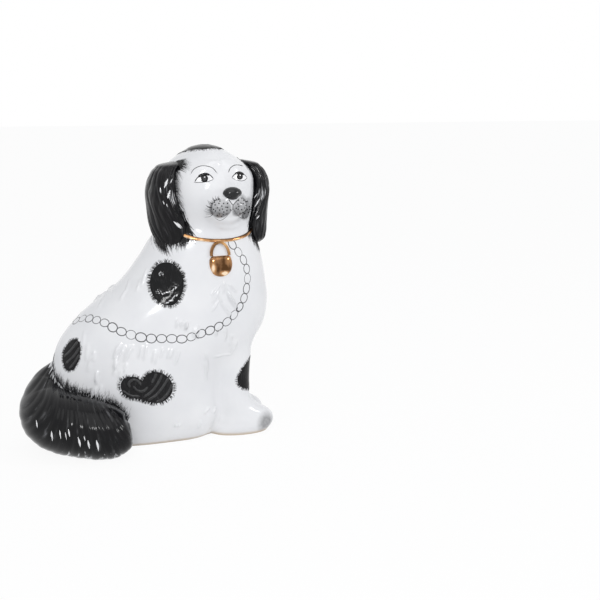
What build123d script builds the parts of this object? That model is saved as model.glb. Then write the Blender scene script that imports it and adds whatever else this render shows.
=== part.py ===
from build123d import *
import math
import os

# A seated spaniel figure of glazed earthenware, hollow, built of moulded pieces luted together.
# Z is up, X runs from the tail to the chest, and the right side of the dog faces -Y.
# Lengths are in millimetres. Tables of places hold shares of the named sizes that they follow.

# The whole figure
figure_height = 292.0
trunk_length = 200.0
trunk_depth = 100.0
clay_wall = 5.0

# Head
head_width = 90.0
head_depth = 90.0
head_turn = 10.0
collar_tilt = 25.0

# Relief pressed into the mould halves
muzzle_rise = 17.0
whisker_pad_rise = 3.5
chin_rise = 4.5
nose_bridge_rise = 7.0
brow_rise = 2.0
eye_corner_sink = 1.0
haunch_rise = 6.0
hind_foot_rise = 8.0

# Base slab with its vent hole
slab_thickness = 6.0
foot_rim_height = 2.0
vent_radius = 8.0

# Forelegs
foreleg_height = 125.0
paw_length = 62.0
foreleg_width = 36.0
foreleg_spacing = 42.0

# Ears
ear_length = 82.0
ear_drop = 26.5
ear_thickness = 26.0
ear_breadth = 49.0
ear_overhang = 5.5

# Tail
tail_width = 63.0
tail_height = 62.0

# Nose button
nose_width = 19.0
nose_height = 12.5
nose_depth = 14.0
nose_stand = 0.7

# Collar band, set in the joint between the head and the neck
band_height = 3.2
band_rise = 1.3
band_set = 1.5

# Padlock
lock_width = 22.5
lock_height = 21.0
lock_rise = 3.6
lock_top_dip = 1.0
shackle_width = 20.5
shackle_height = 13.5
shackle_wire = 2.4
shackle_rise = 2.2
lock_drop = 43.5
lock_swing = 3.0
lock_round_share = 0.62

# Heights of the joint at the collar and of the nose on the figure
collar_height_share = 0.755
nose_height_share = 0.849

# How far a cutting block runs past the piece that it cuts
overrun = 20.0

# Points round one outline of the trunk, the head and the small pieces
trunk_points = 36
head_points = 40
small_points = 24
face_crowding = 0.45
trunk_seam_heading = 145.0
foreleg_sections = 14

# Outline of the trunk, level by level: height, centre forward, front, back, centre sideways,
# right side, left side, turn and squareness
trunk_level_shares = [
    (0.000, -0.040, 0.345, 0.410, 0.00, 0.37, 0.40, 0.00, 2.3),
    (0.020, -0.040, 0.360, 0.435, 0.00, 0.42, 0.44, 0.00, 2.3),
    (0.060, -0.040, 0.370, 0.455, 0.00, 0.48, 0.48, 0.00, 2.2),
    (0.140, -0.030, 0.375, 0.470, 0.00, 0.53, 0.50, 0.00, 2.1),
    (0.255, 0.000, 0.420, 0.495, 0.00, 0.55, 0.52, 0.00, 2.0),
    (0.360, 0.070, 0.495, 0.515, 0.00, 0.56, 0.52, 0.00, 2.0),
    (0.450, 0.170, 0.430, 0.495, 0.00, 0.55, 0.51, 0.00, 2.0),
    (0.540, 0.250, 0.340, 0.405, 0.00, 0.52, 0.49, 0.12, 2.0),
]

# Outline of the neck and the head: height, centre forward, left side, right side, centre sideways,
# face, nape, turn and squareness
head_level_shares = [
    (0.620, 0.280, 0.644, 0.756, -0.01, 0.533, 0.522, 0.40, 2.0),
    (0.690, 0.295, 0.544, 0.633, -0.02, 0.467, 0.511, 0.80, 2.1),
    (0.735, 0.300, 0.490, 0.500, -0.02, 0.430, 0.490, 1.00, 2.2),
    (0.790, 0.300, 0.480, 0.480, -0.03, 0.430, 0.490, 1.00, 2.4),
    (0.850, 0.300, 0.490, 0.490, -0.03, 0.450, 0.490, 1.00, 2.5),
    (0.905, 0.300, 0.470, 0.470, -0.03, 0.440, 0.470, 1.00, 2.4),
    (0.950, 0.295, 0.350, 0.365, -0.03, 0.360, 0.390, 1.00, 2.2),
    (0.980, 0.291, 0.205, 0.215, -0.03, 0.235, 0.250, 1.00, 2.1),
    (0.995, 0.289, 0.105, 0.110, -0.03, 0.120, 0.125, 1.00, 2.0),
    (1.000, 0.289, 0.030, 0.030, -0.03, 0.030, 0.030, 1.00, 2.0),
]

# Heights at which the trunk and the head are sectioned, as shares of the figure's height
trunk_section_shares = [
    0.0, 0.02, 0.06, 0.11, 0.16, 0.21, 0.26, 0.31, 0.36, 0.41,
    0.46, 0.51, 0.56, 0.61, 0.66, 0.71, 0.76, 0.81, 0.86,
]
head_section_shares = [
    0.65, 0.68, 0.71, 0.735, 0.76, 0.785, 0.81, 0.835, 0.86,
    0.885, 0.91, 0.93, 0.95, 0.965, 0.98, 0.99, 0.996, 1.0,
]
neck_section_shares = [0.48, 0.52, 0.56, 0.60, 0.64, 0.68, 0.71, 0.74, 0.77, 0.80, 0.83, 0.86]

# Foreleg: height up the leg, centre forward of the middle of the trunk, half length and half width
foreleg_level_shares = [
    (0.000, 0.430, 0.45, 0.42),
    (0.040, 0.440, 0.49, 0.49),
    (0.104, 0.450, 0.50, 0.50),
    (0.168, 0.437, 0.47, 0.47),
    (0.232, 0.405, 0.37, 0.45),
    (0.304, 0.385, 0.32, 0.43),
    (0.400, 0.380, 0.32, 0.43),
    (0.720, 0.390, 0.32, 0.47),
    (1.000, 0.400, 0.32, 0.50),
]

# Ear from its tip up: height, stand-off from the head, forward share of the breadth, thickness,
# breadth and turn towards the throat
ear_level_shares = [
    (0.00, 0.93, 0.33, 0.12, 0.10, 32.0),
    (0.035, 0.93, 0.33, 0.25, 0.23, 32.0),
    (0.11, 0.93, 0.29, 0.37, 0.36, 30.0),
    (0.24, 0.94, 0.21, 0.45, 0.45, 24.0),
    (0.45, 0.97, 0.10, 0.50, 0.50, 10.0),
    (0.67, 1.00, 0.05, 0.50, 0.49, 2.0),
    (0.82, 0.96, 0.05, 0.48, 0.43, 0.0),
    (0.92, 0.88, 0.05, 0.42, 0.35, 0.0),
    (0.978, 0.77, 0.05, 0.31, 0.25, 0.0),
    (1.00, 0.67, 0.05, 0.12, 0.10, 0.0),
]

# Shares of the ear's length at which it is sectioned
ear_section_shares = [0.0, 0.03, 0.07, 0.13, 0.21, 0.31, 0.42, 0.53, 0.64, 0.74, 0.83, 0.90, 0.95, 0.98, 1.0]

# Tail from its root to its tip: place along, across and up, half width and half height
tail_station_shares = [
    (-0.420, 0.10, 0.253, 0.19, 0.22),
    (-0.495, 0.02, 0.185, 0.35, 0.39),
    (-0.525, -0.16, 0.133, 0.45, 0.465),
    (-0.485, -0.37, 0.111, 0.50, 0.48),
    (-0.380, -0.54, 0.099, 0.49, 0.47),
    (-0.270, -0.65, 0.086, 0.44, 0.42),
    (-0.195, -0.70, 0.085, 0.32, 0.31),
    (-0.160, -0.71, 0.088, 0.13, 0.13),
]

face_heading = head_turn - 90.0

# Relief on the outline: height, heading, reach up and reach down as shares of the figure's height,
# spread in degrees and rise
relief_shares = [
    (0.800, face_heading, 0.058, 0.045, 25.0, muzzle_rise),
    (0.802, face_heading - 14.0, 0.031, 0.031, 8.5, whisker_pad_rise),
    (0.802, face_heading + 14.0, 0.031, 0.031, 8.5, whisker_pad_rise),
    (0.753, face_heading, 0.024, 0.027, 16.0, chin_rise),
    (0.850, face_heading, 0.034, 0.030, 11.0, nose_bridge_rise),
    (0.932, face_heading - 24.0, 0.017, 0.021, 13.0, brow_rise),
    (0.932, face_heading + 24.0, 0.017, 0.021, 13.0, brow_rise),
    (0.897, face_heading - 9.0, 0.021, 0.021, 6.0, -eye_corner_sink),
    (0.897, face_heading + 9.0, 0.021, 0.021, 6.0, -eye_corner_sink),
    (0.206, -105.0, 0.130, 0.144, 28.0, haunch_rise),
    (0.206, 105.0, 0.130, 0.144, 28.0, haunch_rise),
    (0.068, -36.0, 0.090, 0.058, 15.0, hind_foot_rise),
    (0.068, 36.0, 0.090, 0.058, 15.0, hind_foot_rise),
]


def level_rows():
    """The trunk's and the head's levels in real sizes, from the foot rim to the crown."""
    rows = []
    for up, centre, front, back, side, right, left, turn, square in trunk_level_shares:
        place = (up * figure_height, centre * trunk_length, side * trunk_depth)
        sizes = (front * trunk_length, back * trunk_length, right * trunk_depth, left * trunk_depth)
        rows.append((*place, *sizes, turn * head_turn, square))
    for up, centre, left_ear, right_ear, side, face, nape, turn, square in head_level_shares:
        place = (up * figure_height, centre * trunk_length, side * trunk_depth)
        sizes = (left_ear * head_width, right_ear * head_width, face * head_depth, nape * head_depth)
        rows.append((*place, *sizes, turn * head_turn, square))
    return rows


levels = level_rows()
collar_height = collar_height_share * figure_height


def slope(rows, index, column):
    """Slope of one column at a row, weighted by the spacing of the rows on each side."""
    above = rows[min(index + 1, len(rows) - 1)]
    below = rows[max(index - 1, 0)]
    here = rows[index]
    if above is here:
        return (here[column] - below[column]) / (here[0] - below[0])
    if below is here:
        return (above[column] - here[column]) / (above[0] - here[0])
    gap_up = above[0] - here[0]
    gap_down = here[0] - below[0]
    rise_up = (above[column] - here[column]) / gap_up
    rise_down = (here[column] - below[column]) / gap_down
    return (rise_down * gap_up + rise_up * gap_down) / (gap_up + gap_down)


def blend(rows, place):
    """Columns of a table at any place of its first column, on a cubic smooth through the rows."""
    index = 0
    while index < len(rows) - 2 and place >= rows[index + 1][0]:
        index += 1
    low, high = rows[index], rows[index + 1]
    gap = high[0] - low[0]
    t = (place - low[0]) / gap
    columns = []
    for column in range(1, len(low)):
        value = (2 * t**3 - 3 * t**2 + 1) * low[column] + (3 * t**2 - 2 * t**3) * high[column]
        value += (t**3 - 2 * t**2 + t) * gap * slope(rows, index, column)
        value += (t**3 - t**2) * gap * slope(rows, index + 1, column)
        columns.append(value)
    return columns


def level_at(height):
    """The figure's level sizes at any height."""
    return blend(levels, height)


def reach(heading, height):
    """Distance from the level's centre to the glazed surface, in the direction of a heading."""
    _, _, front, back, right, left, turn, square = level_at(height)
    along = math.cos(math.radians(heading - turn))
    across = math.sin(math.radians(heading - turn))
    half_length = front if along > 0 else back
    half_depth = right if across < 0 else left
    distance = (abs(along / half_length) ** square + abs(across / half_depth) ** square) ** (-1 / square)
    for up, centre, above, below, spread, rise in relief_shares:
        turned = (heading - centre + 180.0) % 360.0 - 180.0
        climb = height / figure_height - up
        fall = above if climb > 0 else below
        distance += rise * math.exp(-((turned / spread) ** 2) - (climb / fall) ** 2)
    return distance


def even_headings(count):
    """Headings evenly round the figure, starting on the left flank."""
    return [trunk_seam_heading + 360.0 * step / count for step in range(count)]


def face_headings(count):
    """Headings round the head, starting at the nape and crowded towards the face."""
    found = []
    for step in range(count):
        turn = -180.0 + 360.0 * step / count
        found.append(face_heading + turn - face_crowding * math.degrees(math.sin(math.radians(turn))))
    return found


def closed_outline(points):
    """A smooth closed outline through points, with even parameters so that outlines match."""
    parameters = [float(step) for step in range(len(points) + 1)]
    return Wire([Edge.make_spline(points, periodic=True, parameters=parameters)])


def outline(height, headings, grow, place):
    """Outline of the figure at a height, grown or shrunk, laid at another height."""
    centre_x, centre_y = level_at(height)[:2]
    points = []
    for heading in headings:
        distance = reach(heading, height) + grow
        angle = math.radians(heading)
        points.append((centre_x + distance * math.cos(angle), centre_y + distance * math.sin(angle), place))
    return closed_outline(points)


def loft_shares(shares, headings, grow):
    """Solid through the figure's outlines at the given shares of its height."""
    wires = []
    for share in shares:
        height = share * figure_height
        wires.append(outline(height, headings, grow, height))
    return Solid.make_loft(wires)


def trunk_outer():
    """The trunk with its neck, solid."""
    return loft_shares(trunk_section_shares, even_headings(trunk_points), 0)


def trunk_hollow():
    """The hollow inside the trunk, open below the foot rim and up into the head."""
    headings = even_headings(trunk_points)
    wires = [outline(0, headings, -clay_wall, -overrun)]
    for share in trunk_section_shares:
        height = share * figure_height
        wires.append(outline(height, headings, -clay_wall, height))
    return Solid.make_loft(wires)


def head_outer():
    """The head with its neck, solid."""
    return loft_shares(head_section_shares, face_headings(head_points), 0)


def head_hollow():
    """The hollow inside the head, one clay wall inside the face and the crown."""
    headings = face_headings(head_points)
    wires = []
    for share in head_section_shares:
        climb = (share - head_section_shares[0]) / (1 - head_section_shares[0])
        height = share * figure_height
        shrink = clay_wall * (1 - climb**4)
        wires.append(outline(height, headings, -shrink, height - clay_wall * climb**2))
    return Solid.make_loft(wires)


def collar_plane():
    """Tilted plane of the collar, on which the head is luted to the neck."""
    centre_x, centre_y = level_at(collar_height)[:2]
    heading = math.radians(face_heading)
    tilt = math.radians(collar_tilt)
    normal = (math.sin(tilt) * math.cos(heading), math.sin(tilt) * math.sin(heading), math.cos(tilt))
    sideways = (-math.sin(heading), math.cos(heading), 0)
    return Plane(origin=(centre_x, centre_y, collar_height), x_dir=sideways, z_dir=normal)


def block_above(plane):
    """Large block that fills the space on the normal's side of a plane."""
    side = 2 * (figure_height + overrun)
    return plane * Box(side, side, side, align=(Align.CENTER, Align.CENTER, Align.MIN))


def seam_plane(heading, height):
    """Upright plane through the level's centre, facing a heading."""
    centre_x, centre_y = level_at(height)[:2]
    angle = math.radians(heading)
    outward = (math.cos(angle), math.sin(angle), 0)
    return Plane(origin=(centre_x, centre_y, 0), x_dir=(0, 0, 1), z_dir=outward)


def foreleg_outline(share, side, shrink):
    """Oval outline of a foreleg at a share of its height."""
    forward, half_length, half_width = blend(foreleg_level_shares, share)
    centre_x = forward * trunk_length
    centre_y = side * foreleg_spacing / 2
    points = []
    for step in range(small_points):
        angle = 2 * math.pi * step / small_points
        x = centre_x + (half_length * paw_length - shrink) * math.cos(angle)
        y = centre_y + (half_width * foreleg_width - shrink) * math.sin(angle)
        points.append((x, y, share * foreleg_height))
    return closed_outline(points)


def foreleg(side, trunk):
    """Hollow foreleg and paw, open at the back where the chest closes it."""
    shares = [step / foreleg_sections for step in range(foreleg_sections + 1)]
    outer = Solid.make_loft([foreleg_outline(share, side, 0) for share in shares])
    inner = Solid.make_loft([foreleg_outline(share, side, clay_wall) for share in shares])
    floor = Plane(origin=(0, 0, clay_wall), z_dir=(0, 0, 1))
    return outer - (inner & block_above(floor)) - trunk


def ear_outline(share, side):
    """Oval outline of an ear at a share of its length, square to the way the head faces."""
    stand_off, forward, half_thickness, half_breadth, turn = blend(ear_level_shares, share)
    centre_x, centre_y = level_at(collar_height)[:2]
    heading = math.radians(face_heading)
    ahead = (math.cos(heading), math.sin(heading))
    beside = (-ahead[1] * side, ahead[0] * side)
    along, across = math.cos(math.radians(turn)), math.sin(math.radians(turn))
    points = []
    for step in range(small_points):
        angle = 2 * math.pi * step / small_points
        thick = half_thickness * ear_thickness * math.cos(angle)
        broad = half_breadth * ear_breadth * math.sin(angle)
        out = stand_off * (head_width / 2 + ear_overhang) + thick * along - broad * across
        front = forward * ear_breadth + broad * along + thick * across
        x = centre_x + out * beside[0] + front * ahead[0]
        y = centre_y + out * beside[1] + front * ahead[1]
        points.append((x, y, collar_height - ear_drop + share * ear_length))
    return closed_outline(points)


def ear(side, trunk, head, band):
    """Hanging ear, seated against the head and the neck, with the collar band under it."""
    return Solid.make_loft([ear_outline(share, side) for share in ear_section_shares]) - trunk - head - band


def tail_outline(index, shrink):
    """Oval outline of the tail at one station, square to the tail's run."""
    along, across, up, half_width, half_height = tail_station_shares[index]
    before = tail_station_shares[max(index - 1, 0)]
    after = tail_station_shares[min(index + 1, len(tail_station_shares) - 1)]
    run = Vector(
        (after[0] - before[0]) * trunk_length,
        (after[1] - before[1]) * trunk_depth,
        (after[2] - before[2]) * figure_height,
    ).normalized()
    beside = run.cross(Vector(0, 0, 1)).normalized()
    over = beside.cross(run)
    centre = Vector(along * trunk_length, across * trunk_depth, up * figure_height)
    points = []
    for step in range(small_points):
        angle = 2 * math.pi * step / small_points
        wide = (half_width * tail_width - shrink) * math.cos(angle)
        high = (half_height * tail_height - shrink) * math.sin(angle)
        points.append(centre + beside * wide + over * high)
    return closed_outline(points)


def tail(trunk):
    """Hollow tail wrapped round the right haunch, flat underneath and open to the trunk."""
    last = len(tail_station_shares) - 1
    outer = Solid.make_loft([tail_outline(index, 0) for index in range(last + 1)])
    inner = Solid.make_loft([tail_outline(index, clay_wall) for index in range(last)])
    ground = Plane(origin=(0, 0, 0), z_dir=(0, 0, 1))
    floor = Plane(origin=(0, 0, clay_wall), z_dir=(0, 0, 1))
    return (outer & block_above(ground)) - (inner & block_above(floor)) - trunk


def nose(head):
    """Nose button, seated on the end of the muzzle."""
    height = nose_height_share * figure_height
    centre_x, centre_y = level_at(height)[:2]
    heading = math.radians(face_heading)
    distance = reach(face_heading, height) + nose_stand
    centre = (centre_x + distance * math.cos(heading), centre_y + distance * math.sin(heading), height)
    ball = scale(Sphere(1), by=(nose_depth / 2, nose_width / 2, nose_height / 2))
    return Pos(*centre) * Rot(0, 0, face_heading) * ball - head


def neck_grown(grow):
    """The neck and upper chest, solid, with their surface moved out."""
    return loft_shares(neck_section_shares, face_headings(head_points), grow)


def collar_slab():
    """Thin tilted slab, as thick as the collar band is high, across the joint of head and neck."""
    side = 2 * head_width + overrun
    return collar_plane() * Box(side, side, band_height)


def collar_band():
    """Raised gilt band round the neck, set in the joint between head and neck."""
    return (neck_grown(band_rise) & collar_slab()) - neck_grown(-band_set)


def lock_plane():
    """Plane on the chest under the collar, facing out, with its Y axis up the chest."""
    heading = face_heading - lock_swing
    angle = math.radians(heading)
    height = collar_height - lock_drop
    centre_x, centre_y = level_at(height)[:2]
    distance = reach(heading, height)
    spot = (centre_x + distance * math.cos(angle), centre_y + distance * math.sin(angle), height)
    outward = (math.cos(angle), math.sin(angle), 0)
    sideways = (-math.sin(angle), math.cos(angle), 0)
    return Plane(origin=spot, x_dir=sideways, z_dir=outward)


def padlock_outline():
    """Face of the padlock body: a dipped top, straight shoulders and a round bottom."""
    half = lock_width / 2
    top = lock_height / 2
    round_depth = lock_height * lock_round_share
    with BuildLine() as line:
        ThreePointArc((-half, top), (0, top - lock_top_dip), (half, top))
        Line((half, top), (half, round_depth - top))
        EllipticalCenterArc((0, round_depth - top), half, round_depth, start_angle=180, arc_size=180)
        Line((-half, round_depth - top), (-half, top))
    return make_face(line.edges())


def padlock_body(trunk):
    """Padlock body as a sprig of even thickness on the chest."""
    prism = extrude(lock_plane() * padlock_outline(), amount=overrun, both=True)
    return (prism & neck_grown(lock_rise)) - trunk


def padlock_shackle(trunk, body, band):
    """Bow of the padlock, from its shoulders up to the collar."""
    top = lock_height / 2
    outer = Pos(0, top) * Ellipse(shackle_width / 2, shackle_height)
    inner = Pos(0, top) * Ellipse(shackle_width / 2 - shackle_wire, shackle_height - shackle_wire)
    upper = Pos(0, top - lock_top_dip) * Rectangle(
        2 * shackle_width, 2 * shackle_height, align=(Align.CENTER, Align.MIN)
    )
    prism = extrude(lock_plane() * ((outer - inner) & upper), amount=overrun, both=True)
    return (prism & neck_grown(shackle_rise)) - trunk - body - band


def build():
    """Every piece of the figure by name."""
    above_collar = block_above(collar_plane())
    trunk = trunk_outer() - above_collar
    head = head_outer() & above_collar
    band = collar_band()
    groove = collar_slab() - neck_grown(-band_set)
    trunk_shell = trunk - trunk_hollow() - groove
    head_shell = head - head_hollow() - groove
    left_side = block_above(Plane(origin=(0, 0, 0), x_dir=(1, 0, 0), z_dir=(0, 1, 0)))
    face_side = block_above(seam_plane(face_heading, collar_height))
    slab_space = Pos(0, 0, foot_rim_height) * Box(
        2 * trunk_length, 2 * trunk_length, slab_thickness, align=(Align.CENTER, Align.CENTER, Align.MIN)
    )
    pieces = {
        "body_right_half": trunk_shell - left_side,
        "body_left_half": trunk_shell & left_side,
        "head_face_half": head_shell & face_side,
        "head_back_half": head_shell - face_side,
        "base_slab": (trunk_hollow() & slab_space) - Cylinder(vent_radius, slab_thickness + overrun),
        "foreleg_right": foreleg(-1, trunk),
        "foreleg_left": foreleg(1, trunk),
        "tail": tail(trunk),
        "ear_right": ear(-1, trunk, head, band),
        "ear_left": ear(1, trunk, head, band),
        "nose": nose(head),
        "collar_band": band,
        "padlock_body": padlock_body(trunk),
    }
    pieces["padlock_shackle"] = padlock_shackle(trunk, pieces["padlock_body"], band)
    return pieces


def write_pieces(pieces):
    """Centre the figure over the origin, foot rim on the ground, and write each piece."""
    os.makedirs("parts", exist_ok=True)
    boxes = [piece.bounding_box() for piece in pieces.values()]
    middle_x = (min(box.min.X for box in boxes) + max(box.max.X for box in boxes)) / 2
    middle_y = (min(box.min.Y for box in boxes) + max(box.max.Y for box in boxes)) / 2
    print("moved by", -middle_x, -middle_y)
    for name, piece in pieces.items():
        export_step(Pos(-middle_x, -middle_y, 0) * piece, f"parts/{name}.step")


write_pieces(build())
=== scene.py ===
import math

import bpy
import numpy as np
from mathutils import Matrix, Vector
from mathutils.bvhtree import BVHTree


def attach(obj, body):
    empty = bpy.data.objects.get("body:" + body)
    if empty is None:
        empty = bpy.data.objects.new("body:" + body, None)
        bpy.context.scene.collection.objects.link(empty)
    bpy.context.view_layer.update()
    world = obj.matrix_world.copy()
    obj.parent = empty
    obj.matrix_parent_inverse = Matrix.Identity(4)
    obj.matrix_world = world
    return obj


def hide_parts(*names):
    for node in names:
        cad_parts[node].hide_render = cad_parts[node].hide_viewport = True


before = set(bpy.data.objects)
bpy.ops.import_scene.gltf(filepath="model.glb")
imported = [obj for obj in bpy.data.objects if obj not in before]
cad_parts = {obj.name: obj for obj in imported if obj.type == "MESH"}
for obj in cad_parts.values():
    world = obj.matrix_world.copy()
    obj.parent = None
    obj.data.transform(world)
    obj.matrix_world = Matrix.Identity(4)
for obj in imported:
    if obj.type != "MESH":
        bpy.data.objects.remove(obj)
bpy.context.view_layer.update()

# Camera: it looks at the right flank from a little towards the tail, and slightly down. The figure
# stands in the left half of the picture, where one pixel is about one millimetre of it.
picture_pixels, picture_distance = 600, 1100
view_distance, sensor_width = 1.1, 36
view_turn, view_rise = math.radians(18), math.radians(11)
view_right = np.array([math.cos(view_turn), -math.sin(view_turn), 0])
view_back = np.array([
    -math.sin(view_turn) * math.cos(view_rise),
    -math.cos(view_turn) * math.cos(view_rise),
    math.sin(view_rise),
])
view_up = np.cross(view_back, view_right)
# Where the upright axis stands about which the figure's levels are drawn
figure_axis = np.array([0.00494, 0.01713, 0])
aim_side, aim_height = 0.15, 0.138
aim = figure_axis + aim_side * view_right + [0, 0, aim_height]
eye = aim + view_distance * view_back
optics = bpy.data.cameras.new("camera")
optics.sensor_width = sensor_width
optics.lens = sensor_width * picture_distance / picture_pixels
camera = bpy.data.objects.new("camera", optics)
camera.matrix_world = Matrix([*np.column_stack([view_right, view_up, view_back, eye]), (0, 0, 0, 1)])
bpy.context.scene.collection.objects.link(camera)
bpy.context.scene.camera = camera


# Body: two hollow mould halves of white earthenware, luted together and glazed over as one skin.
# The forelegs are moulded by themselves and luted to the chest, and the slip is smoothed to a fillet.
# The glaze runs a little grey where it is thick, and leaves the foot rim bare.
figure_height, trunk_length, trunk_depth, clay_wall = 0.292, 0.200, 0.100, 0.005
head_width, head_depth, head_turn = 0.090, 0.090, 10.0
collar_height, collar_tilt = 0.755 * figure_height, math.radians(25)
foot_round, slab_middle = 0.0016, 0.0045
# Levels, as shares: height, centre forward, front, back, centre sideways, right, left, turn, squareness
trunk_shares = np.array([
    (0.000, -0.040, 0.345, 0.410, 0.00, 0.37, 0.40, 0.00, 2.3),
    (0.020, -0.040, 0.360, 0.435, 0.00, 0.42, 0.44, 0.00, 2.3),
    (0.060, -0.040, 0.370, 0.455, 0.00, 0.48, 0.48, 0.00, 2.2),
    (0.140, -0.030, 0.375, 0.470, 0.00, 0.53, 0.50, 0.00, 2.1),
    (0.255, 0.000, 0.420, 0.495, 0.00, 0.55, 0.52, 0.00, 2.0),
    (0.360, 0.070, 0.495, 0.515, 0.00, 0.56, 0.52, 0.00, 2.0),
    (0.450, 0.170, 0.430, 0.495, 0.00, 0.55, 0.51, 0.00, 2.0),
    (0.540, 0.250, 0.340, 0.405, 0.00, 0.52, 0.49, 0.12, 2.0),
])
head_shares = np.array([
    (0.620, 0.280, 0.644, 0.756, -0.01, 0.533, 0.522, 0.40, 2.0),
    (0.690, 0.295, 0.544, 0.633, -0.02, 0.467, 0.511, 0.80, 2.1),
    (0.735, 0.300, 0.490, 0.500, -0.02, 0.430, 0.490, 1.00, 2.2),
    (0.790, 0.300, 0.480, 0.480, -0.03, 0.430, 0.490, 1.00, 2.4),
    (0.850, 0.300, 0.490, 0.490, -0.03, 0.450, 0.490, 1.00, 2.5),
    (0.905, 0.300, 0.470, 0.470, -0.03, 0.440, 0.470, 1.00, 2.4),
    (0.950, 0.295, 0.350, 0.365, -0.03, 0.360, 0.390, 1.00, 2.2),
    (0.980, 0.291, 0.205, 0.215, -0.03, 0.235, 0.250, 1.00, 2.1),
    (0.995, 0.289, 0.105, 0.110, -0.03, 0.120, 0.125, 1.00, 2.0),
    (1.000, 0.289, 0.030, 0.030, -0.03, 0.030, 0.030, 1.00, 2.0),
])
face_heading = head_turn - 90
# Relief: height and heading, reach up and down, spread in degrees, rise
relief = [
    (0.800, face_heading, 0.058, 0.045, 25.0, 0.0170),
    (0.802, face_heading - 14, 0.031, 0.031, 8.5, 0.0035),
    (0.802, face_heading + 14, 0.031, 0.031, 8.5, 0.0035),
    (0.753, face_heading, 0.024, 0.027, 16.0, 0.0045),
    (0.850, face_heading, 0.034, 0.030, 11.0, 0.0070),
    (0.932, face_heading - 24, 0.017, 0.021, 13.0, 0.0020),
    (0.932, face_heading + 24, 0.017, 0.021, 13.0, 0.0020),
    (0.897, face_heading - 9, 0.021, 0.021, 6.0, -0.0010),
    (0.897, face_heading + 9, 0.021, 0.021, 6.0, -0.0010),
    (0.206, -105.0, 0.130, 0.144, 28.0, 0.0060),
    (0.206, 105.0, 0.130, 0.144, 28.0, 0.0060),
    (0.068, -36.0, 0.090, 0.058, 15.0, 0.0080),
    (0.068, 36.0, 0.090, 0.058, 15.0, 0.0080),
    (0.806, face_heading, 0.060, 0.045, 19.0, 0.0020),
    (0.798, face_heading - 17, 0.026, 0.028, 7.5, 0.0026),
    (0.798, face_heading + 17, 0.026, 0.028, 7.5, 0.0026),
    (0.965, face_heading + 2, 0.030, 0.035, 5.0, -0.0014),
    (0.800, face_heading, 0.016, 0.022, 3.0, -0.0022),
    (0.770, face_heading, 0.012, 0.010, 14.0, -0.0018),
]
# Foreleg: height, centre forward of the trunk's middle, half length, half width
foreleg_height, paw_length, foreleg_width, foreleg_spacing = 0.125, 0.062, 0.036, 0.042
foreleg_shares = np.array([
    (0.000, 0.430, 0.45, 0.42),
    (0.040, 0.440, 0.49, 0.49),
    (0.104, 0.450, 0.50, 0.50),
    (0.168, 0.437, 0.47, 0.47),
    (0.232, 0.405, 0.37, 0.45),
    (0.304, 0.385, 0.32, 0.43),
    (0.400, 0.380, 0.32, 0.43),
    (0.720, 0.390, 0.32, 0.47),
    (1.000, 0.400, 0.30, 0.46),
    (1.200, 0.400, 0.20, 0.30),
    (2.500, 0.400, 0.05, 0.05),
])
leg_fillet = 0.011
body_rows, body_columns = 226, 430


def level_sizes():
    """Level tables in metres: each share times the size that it follows."""
    trunk = trunk_shares * [figure_height, trunk_length, trunk_length, trunk_length, trunk_depth,
                            trunk_depth, trunk_depth, head_turn, 1]
    head = head_shares * [figure_height, trunk_length, head_width, head_width, trunk_depth,
                          head_depth, head_depth, head_turn, 1]
    return np.vstack([trunk, head])[:, [0, 1, 4, 2, 3, 5, 6, 7, 8]]


def blend(rows, place):
    """Columns of a table at any place of its first column: a cubic through each two rows, whose slope
    at a row is that of its neighbours, weighted by their spacing."""
    at, columns = rows[:, 0], rows[:, 1:]
    gap = np.diff(at)[:, None]
    rise = np.diff(columns, axis=0) / gap
    inner = (rise[:-1] * gap[1:] + rise[1:] * gap[:-1]) / (gap[1:] + gap[:-1])
    slope = np.vstack([rise[:1], inner, rise[-1:]])
    low = np.clip(np.searchsorted(at, place, side="right") - 1, 0, len(at) - 2)
    width = gap[low]
    t = ((place - at[low]) / gap[low, 0])[..., None]
    value = (2 * t**3 - 3 * t**2 + 1) * columns[low] + (3 * t**2 - 2 * t**3) * columns[low + 1]
    return value + (t**3 - 2 * t**2 + t) * width * slope[low] + (t**3 - t**2) * width * slope[low + 1]


def outline(heading, level, height):
    """Distance from a level's centre to its outline: a four-quarter superellipse, plus each relief as
    a bell of rise over heading and height."""
    front, back, right, left, turn, square = (level[..., k] for k in range(2, 8))
    along, across = np.cos(heading - np.radians(turn)), np.sin(heading - np.radians(turn))
    half_length = np.where(along > 0, front, back)
    half_depth = np.where(across < 0, right, left)
    oval = np.abs(along / half_length) ** square + np.abs(across / half_depth) ** square
    distance = oval ** (-1 / square)
    for up, centre, above, below, spread, rise in relief:
        turned = (np.degrees(heading) - centre + 180) % 360 - 180
        climb = height / figure_height - up
        fall = np.where(climb > 0, above, below)
        distance = distance + rise * np.exp(-((turned / spread) ** 2) - (climb / fall) ** 2)
    return distance


def clay(points):
    """How far points lie outside the clay: past the outline of their level, or past the oval of a
    foreleg, the nearer of the two, drawn together by a fillet where both are near."""
    height = np.clip(points[..., 2], 0, figure_height)
    level = blend(levels, height)
    ahead, aside = points[..., 0] - level[..., 0], points[..., 1] - level[..., 1]
    depth = np.hypot(ahead, aside) - outline(np.arctan2(aside, ahead), level, height)
    leg = blend(foreleg_levels, height)
    for side in (-1, 1):
        along, across = points[..., 0] - leg[..., 0], points[..., 1] - side * foreleg_spacing / 2
        share = np.hypot(along / leg[..., 1], across / leg[..., 2]) + 1e-9
        past = np.hypot(along, across) * (1 - 1 / share)
        near = np.clip(leg_fillet - np.abs(depth - past), 0, None)
        depth = np.minimum(depth, past) - near**2 / (4 * leg_fillet)
    return depth


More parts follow.
